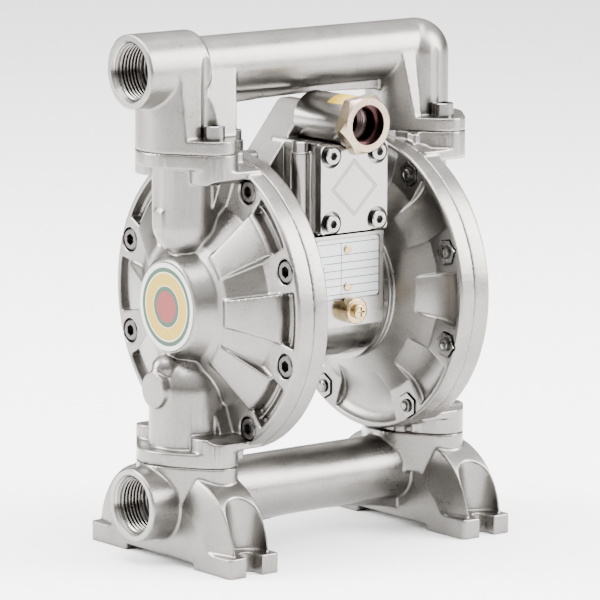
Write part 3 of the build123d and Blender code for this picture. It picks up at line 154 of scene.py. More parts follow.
def spoke(u: Vector, v: Vector, step: int, steps: int) -> Vector:
    """Unit vector towards one of the even steps round an axis.

    Args:
        u: Direction of the first step, square to the axis.
        v: Direction of a quarter turn.
        step: Number of the step.
        steps: Steps in a full turn.

    Returns:
        The direction from the axis.
    """
    turn = 2 * math.pi * step / steps
    return u * math.cos(turn) + v * math.sin(turn)


def lathe(
    name: str, profile: Sequence[Span], start: Point, axis: Point, steps: int = 96, smooth: bool = True
) -> bpy.types.Object:
    """Turns a closed profile round an axis.

    Args:
        name: Name of the new piece.
        profile: (distance along the axis, radius) pairs in millimetres; the outline closes by itself.
        start: Point that the distances count from, in millimetres.
        axis: Direction of the axis.
        steps: Facets round the axis.
        smooth: True for smooth shading.

    Returns:
        The new object.
    """
    along, u, v = basis(Vector(axis))
    origin = Vector(start)
    verts: list[Vector] = []
    rings: list[list[int]] = []
    for distance, radius in profile:
        base = origin + along * distance
        if radius < TINY:
            rings.append([len(verts)])
            verts.append(base * MM)
            continue
        rings.append(list(range(len(verts), len(verts) + steps)))
        verts.extend((base + spoke(u, v, k, steps) * radius) * MM for k in range(steps))
    faces: list[list[int]] = []
    for a, b in zip(rings, rings[1:] + rings[:1]):
        if len(a) == 1 and len(b) == 1:
            continue
        for k in range(steps):
            n = (k + 1) % steps
            if len(a) == 1:
                faces.append([a[0], b[n], b[k]])
            elif len(b) == 1:
                faces.append([a[k], a[n], b[0]])
            else:
                faces.append([a[k], a[n], b[n], b[k]])
    return make_object(name, verts, faces, smooth)


def joined(name: str, pieces: Sequence[bpy.types.Object]) -> bpy.types.Object:
    """Joins several new pieces into one.

    Args:
        name: Name of the joined piece.
        pieces: Pieces to join; they are used up.

    Returns:
        The joined piece.
    """
    verts: list[Vector] = []
    faces: list[tuple[int, ...]] = []
    for piece in pieces:
        start = len(verts)
        verts.extend(v.co.copy() for v in piece.data.vertices)
        faces.extend(tuple(start + k for k in polygon.vertices) for polygon in piece.data.polygons)
        bpy.data.objects.remove(piece)
    return make_object(name, verts, faces)


def recast(piece: bpy.types.Object, voxel: float, relax: int, keep: float) -> bpy.types.Mesh:
    """Gives a hard-edged solid the rounded skin of a casting.

    Args:
        piece: Object whose mesh is a closed solid or several that cross.
        voxel: Grain of the new skin in millimetres.
        relax: Rounds of smoothing, which set the radius of the edges.
        keep: Share of the faces that stay.

    Returns:
        The new mesh.
    """
    skin = piece.modifiers.new("skin", "REMESH")
    skin.mode = "VOXEL"
    skin.voxel_size = voxel * MM
    skin.use_smooth_shade = True
    soft = piece.modifiers.new("relax", "SMOOTH")
    soft.factor = RELAX_FACTOR
    soft.iterations = relax
    thin = piece.modifiers.new("thin", "DECIMATE")
    thin.ratio = keep
    graph = bpy.context.evaluated_depsgraph_get()
    mesh = bpy.data.meshes.new_from_object(piece.evaluated_get(graph))
    mesh.polygons.foreach_set("use_smooth", [True] * len(mesh.polygons))
    return mesh


# ---------------------------------------------------------------- shader groups
@dataclass(frozen=True)
class Grain:
    """Scale of a noise.

    Attributes:
        per_metre: Grains in a metre.
        detail: Octaves of the noise.
        rough: Weight of the finer octaves.
    """

    per_metre: float
    detail: float
    rough: float = 0.5


class Groups:
    """Shader node groups that the finishes share, each made once.

    Attributes:
        BLASTED: Fine grain of a blasted skin.
        CLOUDS: Broad clouds in its tone.
        SWELL: Low swell of its height.
        HIGHLIGHT_BREAKS: Noise that breaks up the painted highlight on outer edges.
        HIGHLIGHT_POINTINESS: Pointiness at which the painted edge highlight starts and is whole.
        GAP_REACH: Distance within which a wall makes a gap, in metres.
        GAP_SAMPLES: Rays that look for it.
        GAP_SHARPNESS: Power that keeps the painted shade to the deepest part of a gap.
        TOOL_DETAIL: Octaves of the tool marks.
        made: Groups that have been made, by effect.
    """

    BLASTED = Grain(760.0, 4.0, 0.72)
    CLOUDS = Grain(48.0, 5.0, 0.62)
    SWELL = Grain(130.0, 2.0)
    # Noise and pointiness span of the painted highlight on outer edges.
    HIGHLIGHT_BREAKS = Grain(240.0, 3.0)
    HIGHLIGHT_POINTINESS: Span = (0.52, 0.62)
    # Reach, rays and sharpness of the painted shade in gaps.
    GAP_REACH = 5.0 * MM
    GAP_SAMPLES = 6
    GAP_SHARPNESS = 2.0
    TOOL_DETAIL = 2.0

    made: dict[Effect, bpy.types.NodeTree] = {}

    @classmethod
    def get(cls, effect: Effect) -> bpy.types.NodeTree:
        """Gives an effect's group, making it the first time.

        Args:
            effect: The effect.

        Returns:
            The node group.
        """
        if effect not in cls.made:
            tree = bpy.data.node_groups.new(effect.value, "ShaderNodeTree")
            getattr(cls, "_" + effect.value)(tree)
            cls.made[effect] = tree
        return cls.made[effect]

    @staticmethod
    def _sockets(
        tree: bpy.types.NodeTree, inputs: dict[str, float], outputs: Sequence[str]
    ) -> tuple[bpy.types.Node, bpy.types.Node]:
        """Adds float sockets to a group.

        Args:
            tree: The group.
            inputs: Each input and its usual value.
            outputs: Each output.

        Returns:
            The node of the inputs and the node of the outputs.
        """
        for label, value in inputs.items():
            socket = tree.interface.new_socket(name=label, in_out="INPUT", socket_type="NodeSocketFloat")
            socket.default_value = value
        for label in outputs:
            tree.interface.new_socket(name=label, in_out="OUTPUT", socket_type="NodeSocketFloat")
        return tree.nodes.new("NodeGroupInput"), tree.nodes.new("NodeGroupOutput")

    @staticmethod
    def _noise(tree: bpy.types.NodeTree, grain: Grain) -> Socket:
        """Noise over the piece's own place.

        Args:
            tree: The group.
            grain: Scale of the noise.

        Returns:
            The noise, between 0 and 1.
        """
        place = tree.nodes.new("ShaderNodeTexCoord")
        noise = tree.nodes.new("ShaderNodeTexNoise")
        noise.inputs["Scale"].default_value = grain.per_metre
        noise.inputs["Detail"].default_value = grain.detail
        noise.inputs["Roughness"].default_value = grain.rough
        tree.links.new(place.outputs["Object"], noise.inputs["Vector"])
        return noise.outputs["Fac"]

    @staticmethod
    def _math(
        tree: bpy.types.NodeTree, kind: Operation, first: Socket | float, second: Socket | float = 0.0,
        clamp: bool = False,
    ) -> Socket:
        """Works out one math operation.

        Args:
            tree: The group.
            kind: The operation.
            first: First value.
            second: Second value, where the operation has one.
            clamp: True to keep the result between 0 and 1.

        Returns:
            The result.
        """
        node = tree.nodes.new("ShaderNodeMath")
        node.operation = kind.value
        node.use_clamp = clamp
        for value, socket in zip((first, second), node.inputs):
            if isinstance(value, Socket):
                tree.links.new(value, socket)
            else:
                socket.default_value = value
        return node.outputs[0]

    @classmethod
    def _blasted_grain(cls, tree: bpy.types.NodeTree) -> None:
        """Fine blasted grain over broad cloudy tone, as on a cast and blasted skin."""
        enter, leave = cls._sockets(tree, {"Fine": 1.0, "Broad": 1.0}, ("Height", "Tone"))
        fine = cls._noise(tree, cls.BLASTED)
        broad = cls._noise(tree, cls.CLOUDS)
        swell = cls._noise(tree, cls.SWELL)
        fine_part = cls._math(tree, Operation.MULTIPLY, fine, enter.outputs["Fine"])
        swell_part = cls._math(tree, Operation.MULTIPLY, swell, enter.outputs["Broad"])
        height = cls._math(tree, Operation.ADD, fine_part, swell_part)
        both = cls._math(tree, Operation.ADD, broad, fine)
        mean = cls._math(tree, Operation.MULTIPLY, both, 0.5)
        tree.links.new(height, leave.inputs["Height"])
        tree.links.new(mean, leave.inputs["Tone"])

    @classmethod
    def _edge_wear(cls, tree: bpy.types.NodeTree) -> None:
        """Mask of the painted highlight on outer edges, broken up by noise."""
        enter, leave = cls._sockets(tree, {"Amount": 1.0}, ("Mask",))
        shape = tree.nodes.new("ShaderNodeNewGeometry")
        spread = tree.nodes.new("ShaderNodeMapRange")
        spread.inputs["From Min"].default_value, spread.inputs["From Max"].default_value = cls.HIGHLIGHT_POINTINESS
        tree.links.new(shape.outputs["Pointiness"], spread.inputs["Value"])
        highlight_breaks = cls._noise(tree, cls.HIGHLIGHT_BREAKS)
        broken = cls._math(tree, Operation.MULTIPLY, spread.outputs["Result"], highlight_breaks)
        scaled = cls._math(tree, Operation.MULTIPLY, broken, enter.outputs["Amount"], clamp=True)
        tree.links.new(scaled, leave.inputs["Mask"])

    @classmethod
    def _crevice(cls, tree: bpy.types.NodeTree) -> None:
        """Mask of gaps and inner corners that get painted shade, worked out from ambient occlusion."""
        enter, leave = cls._sockets(tree, {"Amount": 1.0}, ("Mask",))
        nearby = tree.nodes.new("ShaderNodeAmbientOcclusion")
        nearby.samples = cls.GAP_SAMPLES
        nearby.inputs["Distance"].default_value = cls.GAP_REACH
        closed = cls._math(tree, Operation.SUBTRACT, 1.0, nearby.outputs["AO"])
        sharper = cls._math(tree, Operation.POWER, closed, cls.GAP_SHARPNESS)
        scaled = cls._math(tree, Operation.MULTIPLY, sharper, enter.outputs["Amount"], clamp=True)
        tree.links.new(scaled, leave.inputs["Mask"])

    @classmethod
    def _band(cls, tree: bpy.types.NodeTree) -> None:
        """Mask of a band of a value, from its middle and its half width."""
        enter, leave = cls._sockets(tree, {"Value": 0.0, "Middle": 0.0, "Half width": 1.0}, ("Mask",))
        offset = cls._math(tree, Operation.SUBTRACT, enter.outputs["Value"], enter.outputs["Middle"])
        away = cls._math(tree, Operation.ABSOLUTE, offset)
        inside = cls._math(tree, Operation.LESS_THAN, away, enter.outputs["Half width"])
        tree.links.new(inside, leave.inputs["Mask"])

    @classmethod
    def _polar(cls, tree: bpy.types.NodeTree) -> None:
        """Distance of two coordinates from a centre, measured in circles and in rhombuses."""
        enter, leave = cls._sockets(
            tree, {"U": 0.0, "V": 0.0, "Centre U": 0.0, "Centre V": 0.0}, ("Round", "Rhombic")
        )
        u = cls._math(tree, Operation.SUBTRACT, enter.outputs["U"], enter.outputs["Centre U"])
        v = cls._math(tree, Operation.SUBTRACT, enter.outputs["V"], enter.outputs["Centre V"])
        square_u = cls._math(tree, Operation.MULTIPLY, u, u)
        square_v = cls._math(tree, Operation.MULTIPLY, v, v)
        total = cls._math(tree, Operation.ADD, square_u, square_v)
        circular = cls._math(tree, Operation.SQRT, total)
        size_u = cls._math(tree, Operation.ABSOLUTE, u)
        size_v = cls._math(tree, Operation.ABSOLUTE, v)
        rhombic = cls._math(tree, Operation.ADD, size_u, size_v)
        tree.links.new(circular, leave.inputs["Round"])
        tree.links.new(rhombic, leave.inputs["Rhombic"])

    @classmethod
    def _lathe_marks(cls, tree: bpy.types.NodeTree) -> None:
        """Fine tool marks along one axis, as grooves of a turned or milled face."""
        enter, leave = cls._sockets(
            tree, {"Along X": 1.0, "Along Y": 0.0, "Along Z": 0.0, "Per metre": 4000.0}, ("Height",)
        )
        place = tree.nodes.new("ShaderNodeTexCoord")
        parts = tree.nodes.new("ShaderNodeSeparateXYZ")
        tree.links.new(place.outputs["Object"], parts.inputs[0])
        along_x, along_y, along_z = (
            cls._math(tree, Operation.MULTIPLY, parts.outputs[axis], enter.outputs["Along " + axis])
            for axis in "XYZ"
        )
        level = cls._math(tree, Operation.ADD, along_x, along_y)
        total = cls._math(tree, Operation.ADD, level, along_z)
        spaced = cls._math(tree, Operation.MULTIPLY, total, enter.outputs["Per metre"])
        lines = tree.nodes.new("ShaderNodeTexNoise")
        lines.noise_dimensions = "1D"
        lines.inputs["Scale"].default_value = 1.0
        lines.inputs["Detail"].default_value = cls.TOOL_DETAIL
        tree.links.new(spaced, lines.inputs["W"])
        tree.links.new(lines.outputs["Fac"], leave.inputs["Height"])


# ---------------------------------------------------------------- materials
class MaterialBench:
    """A new material with its Principled shader and short calls for its nodes."""

    # Places of the colour sockets of a Mix node, whose names repeat.
    FIRST_COLOUR = 6
    SECOND_COLOUR = 7
    MIXED_COLOUR = 2

    def __init__(self, name: str) -> None:
        """Starts a material.

        Args:
            name: Name of the material.
        """
        self.material = bpy.data.materials.new(name)
        self.material.use_nodes = True
        self.tree = self.material.node_tree
        self.shader = self.tree.nodes["Principled BSDF"]

    def link(self, value: Feed, socket: Socket) -> None:
        """Sets a socket from another socket, a number or a colour.

        Args:
            value: Socket, number or colour.
            socket: Input to set.
        """
        if isinstance(value, Socket):
            self.tree.links.new(value, socket)
        elif isinstance(value, tuple) and len(socket.default_value) == 4:
            socket.default_value = (*value, 1.0)
        else:
            socket.default_value = value

    def group(self, effect: Effect, values: dict[str, float] | None = None) -> bpy.types.Node:
        """Places a shared group with its own values.

        Args:
            effect: Effect of the group.
            values: Value of each named input that isn't as usual.

        Returns:
            The group node.
        """
        node = self.tree.nodes.new("ShaderNodeGroup")
        node.node_tree = Groups.get(effect)
        for label, value in (values or {}).items():
            node.inputs[label].default_value = value
        return node

    def mix(self, factor: Feed, first: Feed, second: Feed) -> Socket:
        """Mixes two colours.

        Args:
            factor: Share of the second colour.
            first: First colour or socket.
            second: Second colour or socket.

        Returns:
            The mixed colour.
        """
        node = self.tree.nodes.new("ShaderNodeMix")
        node.data_type = "RGBA"
        self.link(factor, node.inputs["Factor"])
        self.link(first, node.inputs[self.FIRST_COLOUR])
        self.link(second, node.inputs[self.SECOND_COLOUR])
        return node.outputs[self.MIXED_COLOUR]

    def spread(self, value: Socket, span: Span, onto: Span = (0.0, 1.0)) -> Socket:
        """Spreads a value from one range over another.

        Args:
            value: Socket to spread.
            span: Lowest and highest value.
            onto: What those two become.

        Returns:
            The new value.
        """
        node = self.tree.nodes.new("ShaderNodeMapRange")
        self.link(value, node.inputs["Value"])
        for label, number in zip(("From Min", "From Max", "To Min", "To Max"), (*span, *onto)):
            node.inputs[label].default_value = number
        return node.outputs["Result"]

    def combine(self, kind: Operation, first: Feed, second: Feed) -> Socket:
        """Joins two values by one math operation.

        Args:
            kind: The operation.
            first: First value.
            second: Second value.

        Returns:
            The result.
        """
        node = self.tree.nodes.new("ShaderNodeMath")
        node.operation = kind.value
        self.link(first, node.inputs[0])
        self.link(second, node.inputs[1])
        return node.outputs[0]

    def band(self, value: Feed, middle: float, half: float) -> Socket:
        """Mask of a band of a value.

        Args:
            value: Value to look at, in metres.
            middle: Middle of the band in millimetres.
            half: Half its width in millimetres.

        Returns:
            1 inside the band and 0 outside.
        """
        node = self.group(Effect.BAND, {"Middle": middle * MM, "Half width": half * MM})
        self.link(value, node.inputs["Value"])
        return node.outputs["Mask"]

    def place(self) -> tuple[Socket, Socket, Socket]:
        """Gives the place of the surface point.

        Returns:
            Its X, Y and Z in metres.
        """
        source = self.tree.nodes.new("ShaderNodeTexCoord")
        parts = self.tree.nodes.new("ShaderNodeSeparateXYZ")
        self.tree.links.new(source.outputs["Object"], parts.inputs[0])
        return parts.outputs["X"], parts.outputs["Y"], parts.outputs["Z"]

    def polar(self, u: Socket, v: Socket, centre: Span) -> bpy.types.Node:
        """Places the group that measures from a centre.

        Args:
            u: First coordinate in metres.
            v: Second coordinate in metres.
            centre: Both coordinates of the centre in millimetres.

        Returns:
            The group node, with outputs Round and Rhombic.
        """
        node = self.group(Effect.POLAR, {"Centre U": centre[0] * MM, "Centre V": centre[1] * MM})
        self.link(u, node.inputs["U"])
        self.link(v, node.inputs["V"])
        return node

    def surface(self, colour: Feed, rough: Feed, metallic: float) -> None:
        """Feeds the shader.

        Args:
            colour: Base colour.
            rough: Roughness.
            metallic: 1 for metal, 0 for the rest.
        """
        self.link(colour, self.shader.inputs["Base Color"])
        self.link(rough, self.shader.inputs["Roughness"])
        self.shader.inputs["Metallic"].default_value = metallic

    def bump(self, height: Feed, depth: float) -> None:
        """Adds bump from a height.

        Args:
            height: Height between 0 and 1.
            depth: Depth of the relief in millimetres.
        """
        node = self.tree.nodes.new("ShaderNodeBump")
        node.inputs["Distance"].default_value = depth * MM
        node.inputs["Strength"].default_value = 1.0
        self.link(height, node.inputs["Height"])
        self.tree.links.new(node.outputs["Normal"], self.shader.inputs["Normal"])


# ---------------------------------------------------------------- finishes
@dataclass(frozen=True)
class MetalFinish:
    """A bare metal surface.

    Attributes:
        name: Name of the material.
        bright: Colour of the clean metal.
        dull: Colour where the tone is darker.
        gap_shade: Colour of the painted shade in gaps.
        roughness: Least and greatest roughness.
        fine: Strength of the fine grain.
        broad: Strength of the broad swell.
        bump: Height of the grain in millimetres.
        edge_highlight: Strength of the painted highlight on outer edges.
        gap_shade_strength: Strength of the painted shade in gaps.
        marks: Direction of tool marks, or none.
        tones: Tones that count as dullest and brightest.
        highlight_gain: How much brighter the painted highlight on an outer edge is.
    """

    name: str
    bright: Colour
    dull: Colour
    # Colour of the painted shade in gaps.
    gap_shade: Colour = (0.10, 0.085, 0.07)
    roughness: Span = (0.30, 0.42)
    fine: float = 1.0
    broad: float = 1.0
    bump: float = 0.05
    # Strength of the painted highlight on outer edges.
    edge_highlight: float = 0.8
    # Strength of the painted shade in gaps.
    gap_shade_strength: float = 0.6
    marks: Point | None = None
    tones: Span = (0.38, 0.62)
    # How much brighter the painted edge highlight is.
    highlight_gain: float = 1.25

    def parts(self, name: str) -> tuple[MaterialBench, Socket, Socket, Socket]:
        """Makes the metal's nodes without feeding the shader.

        Args:
            name: Name of the material.

        Returns:
            The bench, the colour, the roughness and the height.
        """
        bench = MaterialBench(name)
        grain = bench.group(Effect.BLASTED_GRAIN, {"Fine": self.fine, "Broad": self.broad})
        edge_highlight = bench.group(Effect.PAINTED_HIGHLIGHT, {"Amount": self.edge_highlight})
        gap_shade_node = bench.group(Effect.CREVICE, {"Amount": self.gap_shade_strength})
        tone = grain.outputs["Tone"]
        colour = bench.mix(bench.spread(tone, self.tones), self.dull, self.bright)
        # Painted highlight: outer edges are brightened towards a lighter copy of the metal's colour.
        highlight_colour = tuple(min(1.0, c * self.highlight_gain) for c in self.bright)
        highlighted = bench.mix(edge_highlight.outputs["Mask"], colour, highlight_colour)
        # Painted shade: gaps and inner corners are darkened towards the shade colour by an ambient
        # occlusion mask.
        gap_shaded_colour = bench.mix(gap_shade_node.outputs["Mask"], highlighted, self.gap_shade)
        rough = bench.spread(tone, self.tones, self.roughness)
        height = grain.outputs["Height"]
        if self.marks:
            tool = bench.group(Effect.LATHE_MARKS, dict(zip(("Along X", "Along Y", "Along Z"), self.marks)))
            height = bench.combine(Operation.ADD, height, tool.outputs["Height"])
        return bench, gap_shaded_colour, rough, height

    def make(self) -> bpy.types.Material:
        """Makes the material of this finish."""
        bench, colour, rough, height = self.parts(self.name)
        bench.surface(colour, rough, metallic=1.0)
        bench.bump(height, self.bump)
        return bench.material


@dataclass(frozen=True)
class SolidFinish:
    """A painted, moulded or rubber surface.

    Attributes:
        name: Name of the material.
        colour: Main colour.
        second: Colour of the mottling.
        roughness: Least and greatest roughness.
        bump: Height of the grain in millimetres.
        broad: Strength of the broad swell.
        tones: Tones that count as darkest and lightest.
    """

    name: str
    colour: Colour
    second: Colour
    roughness: Span
    bump: float = 0.03
    broad: float = 0.6
    tones: Span = (0.35, 0.65)

    def make(self) -> bpy.types.Material:
        """Makes the material of this finish."""
        bench = MaterialBench(self.name)
        grain = bench.group(Effect.BLASTED_GRAIN, {"Broad": self.broad})
        tone = grain.outputs["Tone"]
        colour = bench.mix(bench.spread(tone, self.tones), self.second, self.colour)
        bench.surface(colour, bench.spread(tone, self.tones, self.roughness), metallic=0.0)
        bench.bump(grain.outputs["Height"], self.bump)
        return bench.material


# Each metal finish gives its clean colour, a darker random tone and the colour of the painted shade in
# gaps; other settings set the strength of the painted edge highlight and of the painted gap shade.
CAST = MetalFinish(
    "cast_steel", (0.235, 0.227, 0.214), (0.181, 0.172, 0.162), (0.021, 0.017, 0.015),
    roughness=(0.27, 0.34), broad=0.25, bump=0.10, edge_highlight=1.0, gap_shade_strength=0.9,
)
VALVE_CAST = MetalFinish(
    "valve_cast", (0.340, 0.329, 0.314), (0.289, 0.278, 0.263), (0.020, 0.018, 0.016),
    roughness=(0.20, 0.26), broad=0.3, gap_shade_strength=0.9,
)
POLISHED = MetalFinish(
    "polished_steel", (0.279, 0.270, 0.256), (0.232, 0.223, 0.209), (0.014, 0.012, 0.011),
    roughness=(0.12, 0.20), fine=0.4, broad=0.3, bump=0.02, gap_shade_strength=0.9, marks=(1.0, 0.0, 0.0),
)
MACHINED = MetalFinish(
    "machined_steel", (0.279, 0.274, 0.265), (0.223, 0.218, 0.209), (0.014, 0.013, 0.011),
    roughness=(0.16, 0.24), broad=0.3, bump=0.015, gap_shade_strength=1.0,
)
SCREW = MetalFinish(
    "screw_steel", (0.186, 0.181, 0.172), (0.140, 0.135, 0.128), (0.007, 0.007, 0.005),
    roughness=(0.16, 0.26), broad=0.3, bump=0.015, gap_shade_strength=1.0,
)
THREAD = MetalFinish(
    "thread_steel", (0.214, 0.205, 0.191), (0.149, 0.140, 0.131), (0.019, 0.015, 0.013),
    roughness=(0.18, 0.28), bump=0.01, gap_shade_strength=1.0,
)
DARK_THREAD = MetalFinish(
    "dark_thread", (0.182, 0.140, 0.133), (0.119, 0.091, 0.087), (0.014, 0.010, 0.010),
    roughness=(0.25, 0.35), bump=0.01, gap_shade_strength=1.0,
)
DARK_STEEL = MetalFinish(
    "dark_steel", (0.096, 0.093, 0.090), (0.062, 0.059, 0.056), (0.005, 0.005, 0.005),
    roughness=(0.24, 0.36), bump=0.015, gap_shade_strength=1.0,
)
BRASS = MetalFinish(
    "brass", (0.450, 0.346, 0.196), (0.346, 0.254, 0.126), (0.058, 0.034, 0.018),
    roughness=(0.20, 0.32), bump=0.02,
)
BRONZE = MetalFinish(
    "bronze", (0.434, 0.308, 0.168), (0.336, 0.231, 0.119), roughness=(0.25, 0.38), bump=0.02,
)
RUBBER = SolidFinish("rubber", (0.022, 0.022, 0.022), (0.014, 0.014, 0.014), (0.5, 0.7))
PTFE = SolidFinish("white_ptfe", (0.533, 0.533, 0.521), (0.496, 0.496, 0.477), (0.35, 0.5))
SILENCER = SolidFinish(
    "silencer_plastic", (0.040, 0.040, 0.042), (0.028, 0.028, 0.030), (0.45, 0.6), bump=0.06,
)
STICKER = SolidFinish("sticker_yellow", (0.42, 0.28, 0.0), (0.39, 0.26, 0.0), (0.45, 0.55), bump=0.005)


@dataclass(frozen=True)
class BadgeFinish:
    """White round badge with plain coloured rings.

    Attributes:
        name: Name of the material.
        ground: Colour of the disc.
        rough: Roughness of the print.
        rings: Middle radius and half width in millimetres, and colour of each ring.
    """

    name: str = "badge"
    ground: Colour = (0.48, 0.48, 0.47)
    rough: float = 0.45
    rings: tuple[tuple[float, float, Colour], ...] = (
        (21.6, 1.3, (0.0, 0.035, 0.008)), (16.0, 3.6, (0.36, 0.235, 0.0)), (10.6, 1.4, (0.0, 0.035, 0.008)),
        (4.6, 4.6, (0.15, 0.0, 0.0)),
    )

    def make(self) -> bpy.types.Material:
        """Makes the material of this finish."""
        bench = MaterialBench(self.name)
        _, y, z = bench.place()
        polar = bench.polar(y, z, (0.0, AXIS_Z))
        colour: Feed = self.ground
        for middle, half, paint in self.rings:
            colour = bench.mix(bench.band(polar.outputs["Round"], middle, half), colour, paint)
        bench.surface(colour, self.rough, metallic=0.0)
        return bench.material


@dataclass(frozen=True)
class RuledPlateFinish:
    """Brushed aluminium name plate with a border and empty ruled fields.

    Attributes:
        name: Name of the material.
        metal: Colour of the plate.
        ink: Colour of the lines.
        centre: X and Z of the ruled field's middle in millimetres.
        half: Half width and half height of the border in millimetres.
        rules: Heights of the level rules above the middle in millimetres.
        posts: Places of the upright rules beside the middle in millimetres.
        half_line: Half width of a rule in millimetres.
        shade: Share of the metal's colour that the darkest tone keeps.
        tones: Tones that count as darkest and lightest.
        rough: Roughness of the plate.
        metallic: Share of bare metal in the lacquered surface.
        bump: Depth of the brushing in millimetres.
    """

    name: str = "plate_aluminium"
    metal: Colour = (0.46, 0.47, 0.48)
    ink: Colour = (0.015, 0.015, 0.017)
    centre: Span = (0.0, 167.05)
    half: Span = (24.5, 15.0)
    rules: tuple[float, ...] = (8.0, 3.5, -1.0, -5.5, -10.0)
    posts: tuple[float, ...] = (-6.0,)
    half_line: float = 0.22
    shade: float = 0.92
    tones: Span = (0.35, 0.65)
    rough: float = 0.34
    metallic: float = 0.75
    bump: float = 0.006

    def make(self) -> bpy.types.Material:
        """Makes the material of this finish."""
        bench = MaterialBench(self.name)
        x, _, z = bench.place()
        lines: Feed = 0.0
        inside: Feed = 1.0
        for place, middle, half, shifts in zip((x, z), self.centre, self.half, (self.posts, self.rules)):
            for shift in (*shifts, -half, half):
                line = bench.band(place, middle + shift, self.half_line)
                lines = bench.combine(Operation.MAXIMUM, lines, line)
            within = bench.band(place, middle, half + self.half_line)
            inside = bench.combine(Operation.MULTIPLY, inside, within)
        mask = bench.combine(Operation.MULTIPLY, inside, lines)
        grain = bench.group(Effect.BLASTED_GRAIN)
        tone = bench.spread(grain.outputs["Tone"], self.tones)
        metal = bench.mix(tone, tuple(c * self.shade for c in self.metal), self.metal)
        bench.surface(bench.mix(mask, metal, self.ink), self.rough, metallic=self.metallic)
        brushing = bench.group(Effect.LATHE_MARKS, {"Along X": 0.0, "Along Z": 1.0})
        bench.bump(brushing.outputs["Height"], self.bump)
        return bench.material


@dataclass(frozen=True)
class MarkedCoverFinish:
    """Satin cast cover with a plain double rhombus in thin line.

    Attributes:
        name: Name of the material.
        base: Finish of the metal.
        centre: X and Z of the mark in millimetres.
        sizes: Half diagonals of the lines in millimetres.
        half_line: Half width of a line in millimetres.
    """

    name: str = "marked_cover"
    base: MetalFinish = VALVE_CAST
    centre: Span = (0.0, 214.7)
    sizes: Span = (16.6, 14.8)
    half_line: float = 0.32

    def make(self) -> bpy.types.Material:
        """Makes the material of this finish."""
        bench, colour, rough, height = self.base.parts(self.name)
        x, _, z = bench.place()
        polar = bench.polar(x, z, self.centre)
        lines: Feed = 0.0
        for size in self.sizes:
            line = bench.band(polar.outputs["Rhombic"], size, self.half_line)
            lines = bench.combine(Operation.MAXIMUM, lines, line)
        # The mark's lines are printed in the same dark colour that the metal uses for its painted gap
        # shade.
        bench.surface(bench.mix(lines, colour, self.base.gap_shade), rough, metallic=1.0)
        bench.bump(height, self.base.bump)
        return bench.material


@dataclass(frozen=True)
class FittingFinish:
    """Steel body, yellow chromate hexagon and a darker bore on one turned fitting.

    Attributes:
        name: Name of the material.
        base: Finish of the body.
        hexagon: Brighter and darker colour of the hexagon.
        bore: Colour of the bore.
        hex_back: Y of the hexagon's back in millimetres.
        bore_r: Radius that counts as bore in millimetres.
        tones: Tones that count as darkest and brightest plating.
    """

    name: str = "fitting_steel"
    base: MetalFinish = VALVE_CAST
    hexagon: tuple[Colour, Colour] = ((0.42, 0.37, 0.23), (0.32, 0.20, 0.19))
    bore: Colour = (0.15, 0.09, 0.09)
    hex_back: float = -53.6
    bore_r: float = 11.75
    tones: Span = (0.42, 0.58)

    def make(self) -> bpy.types.Material:
        """Makes the material of this finish."""
        bench, colour, rough, height = self.base.parts(self.name)
        x, y, z = bench.place()
        hexagon = bench.combine(Operation.LESS_THAN, y, self.hex_back * MM)
        sheen = bench.group(Effect.BLASTED_GRAIN)
        bright, dark = self.hexagon
        tint = bench.mix(bench.spread(sheen.outputs["Tone"], self.tones), dark, bright)
        polar = bench.polar(x, z, (0.0, AIR_INLET_Z))
        inner = bench.combine(Operation.LESS_THAN, polar.outputs["Round"], self.bore_r * MM)
        plated = bench.mix(hexagon, colour, tint)
        bench.surface(bench.mix(inner, plated, self.bore), rough, metallic=1.0)
        bench.bump(height, self.base.bump)
        return bench.material


Finish = FittingFinish | MetalFinish | SolidFinish | BadgeFinish | RuledPlateFinish | MarkedCoverFinish


class Finishes:
    """Materials that have been made, by the name of their finish."""

    made: dict[str, bpy.types.Material] = {}

    @classmethod
    def of(cls, finish: Finish) -> bpy.types.Material:
        """Gives a finish's material, making it the first time.

        Args:
            finish: The finish.

        Returns:
            Its material.
        """
        if finish.name not in cls.made:
            cls.made[finish.name] = finish.make()
        return cls.made[finish.name]


def dress(piece: bpy.types.Object, material: bpy.types.Material) -> None:
    """Gives a piece one material.

    Args:
        piece: The piece.
        material: Its material.
    """
    if piece.material_slots:
        for slot in piece.material_slots:
            slot.material = material
    else:
        piece.data.materials.append(material)


def settle(piece: bpy.types.Object, finish: Finish) -> None:
    """Dresses a new piece and lets it ride on the housing.

    Args:
        piece: The piece.
        finish: Its finish.
    """
    dress(piece, Finishes.of(finish))
    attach(piece, HOUSING)
    LOG.info("made %s", piece.name)


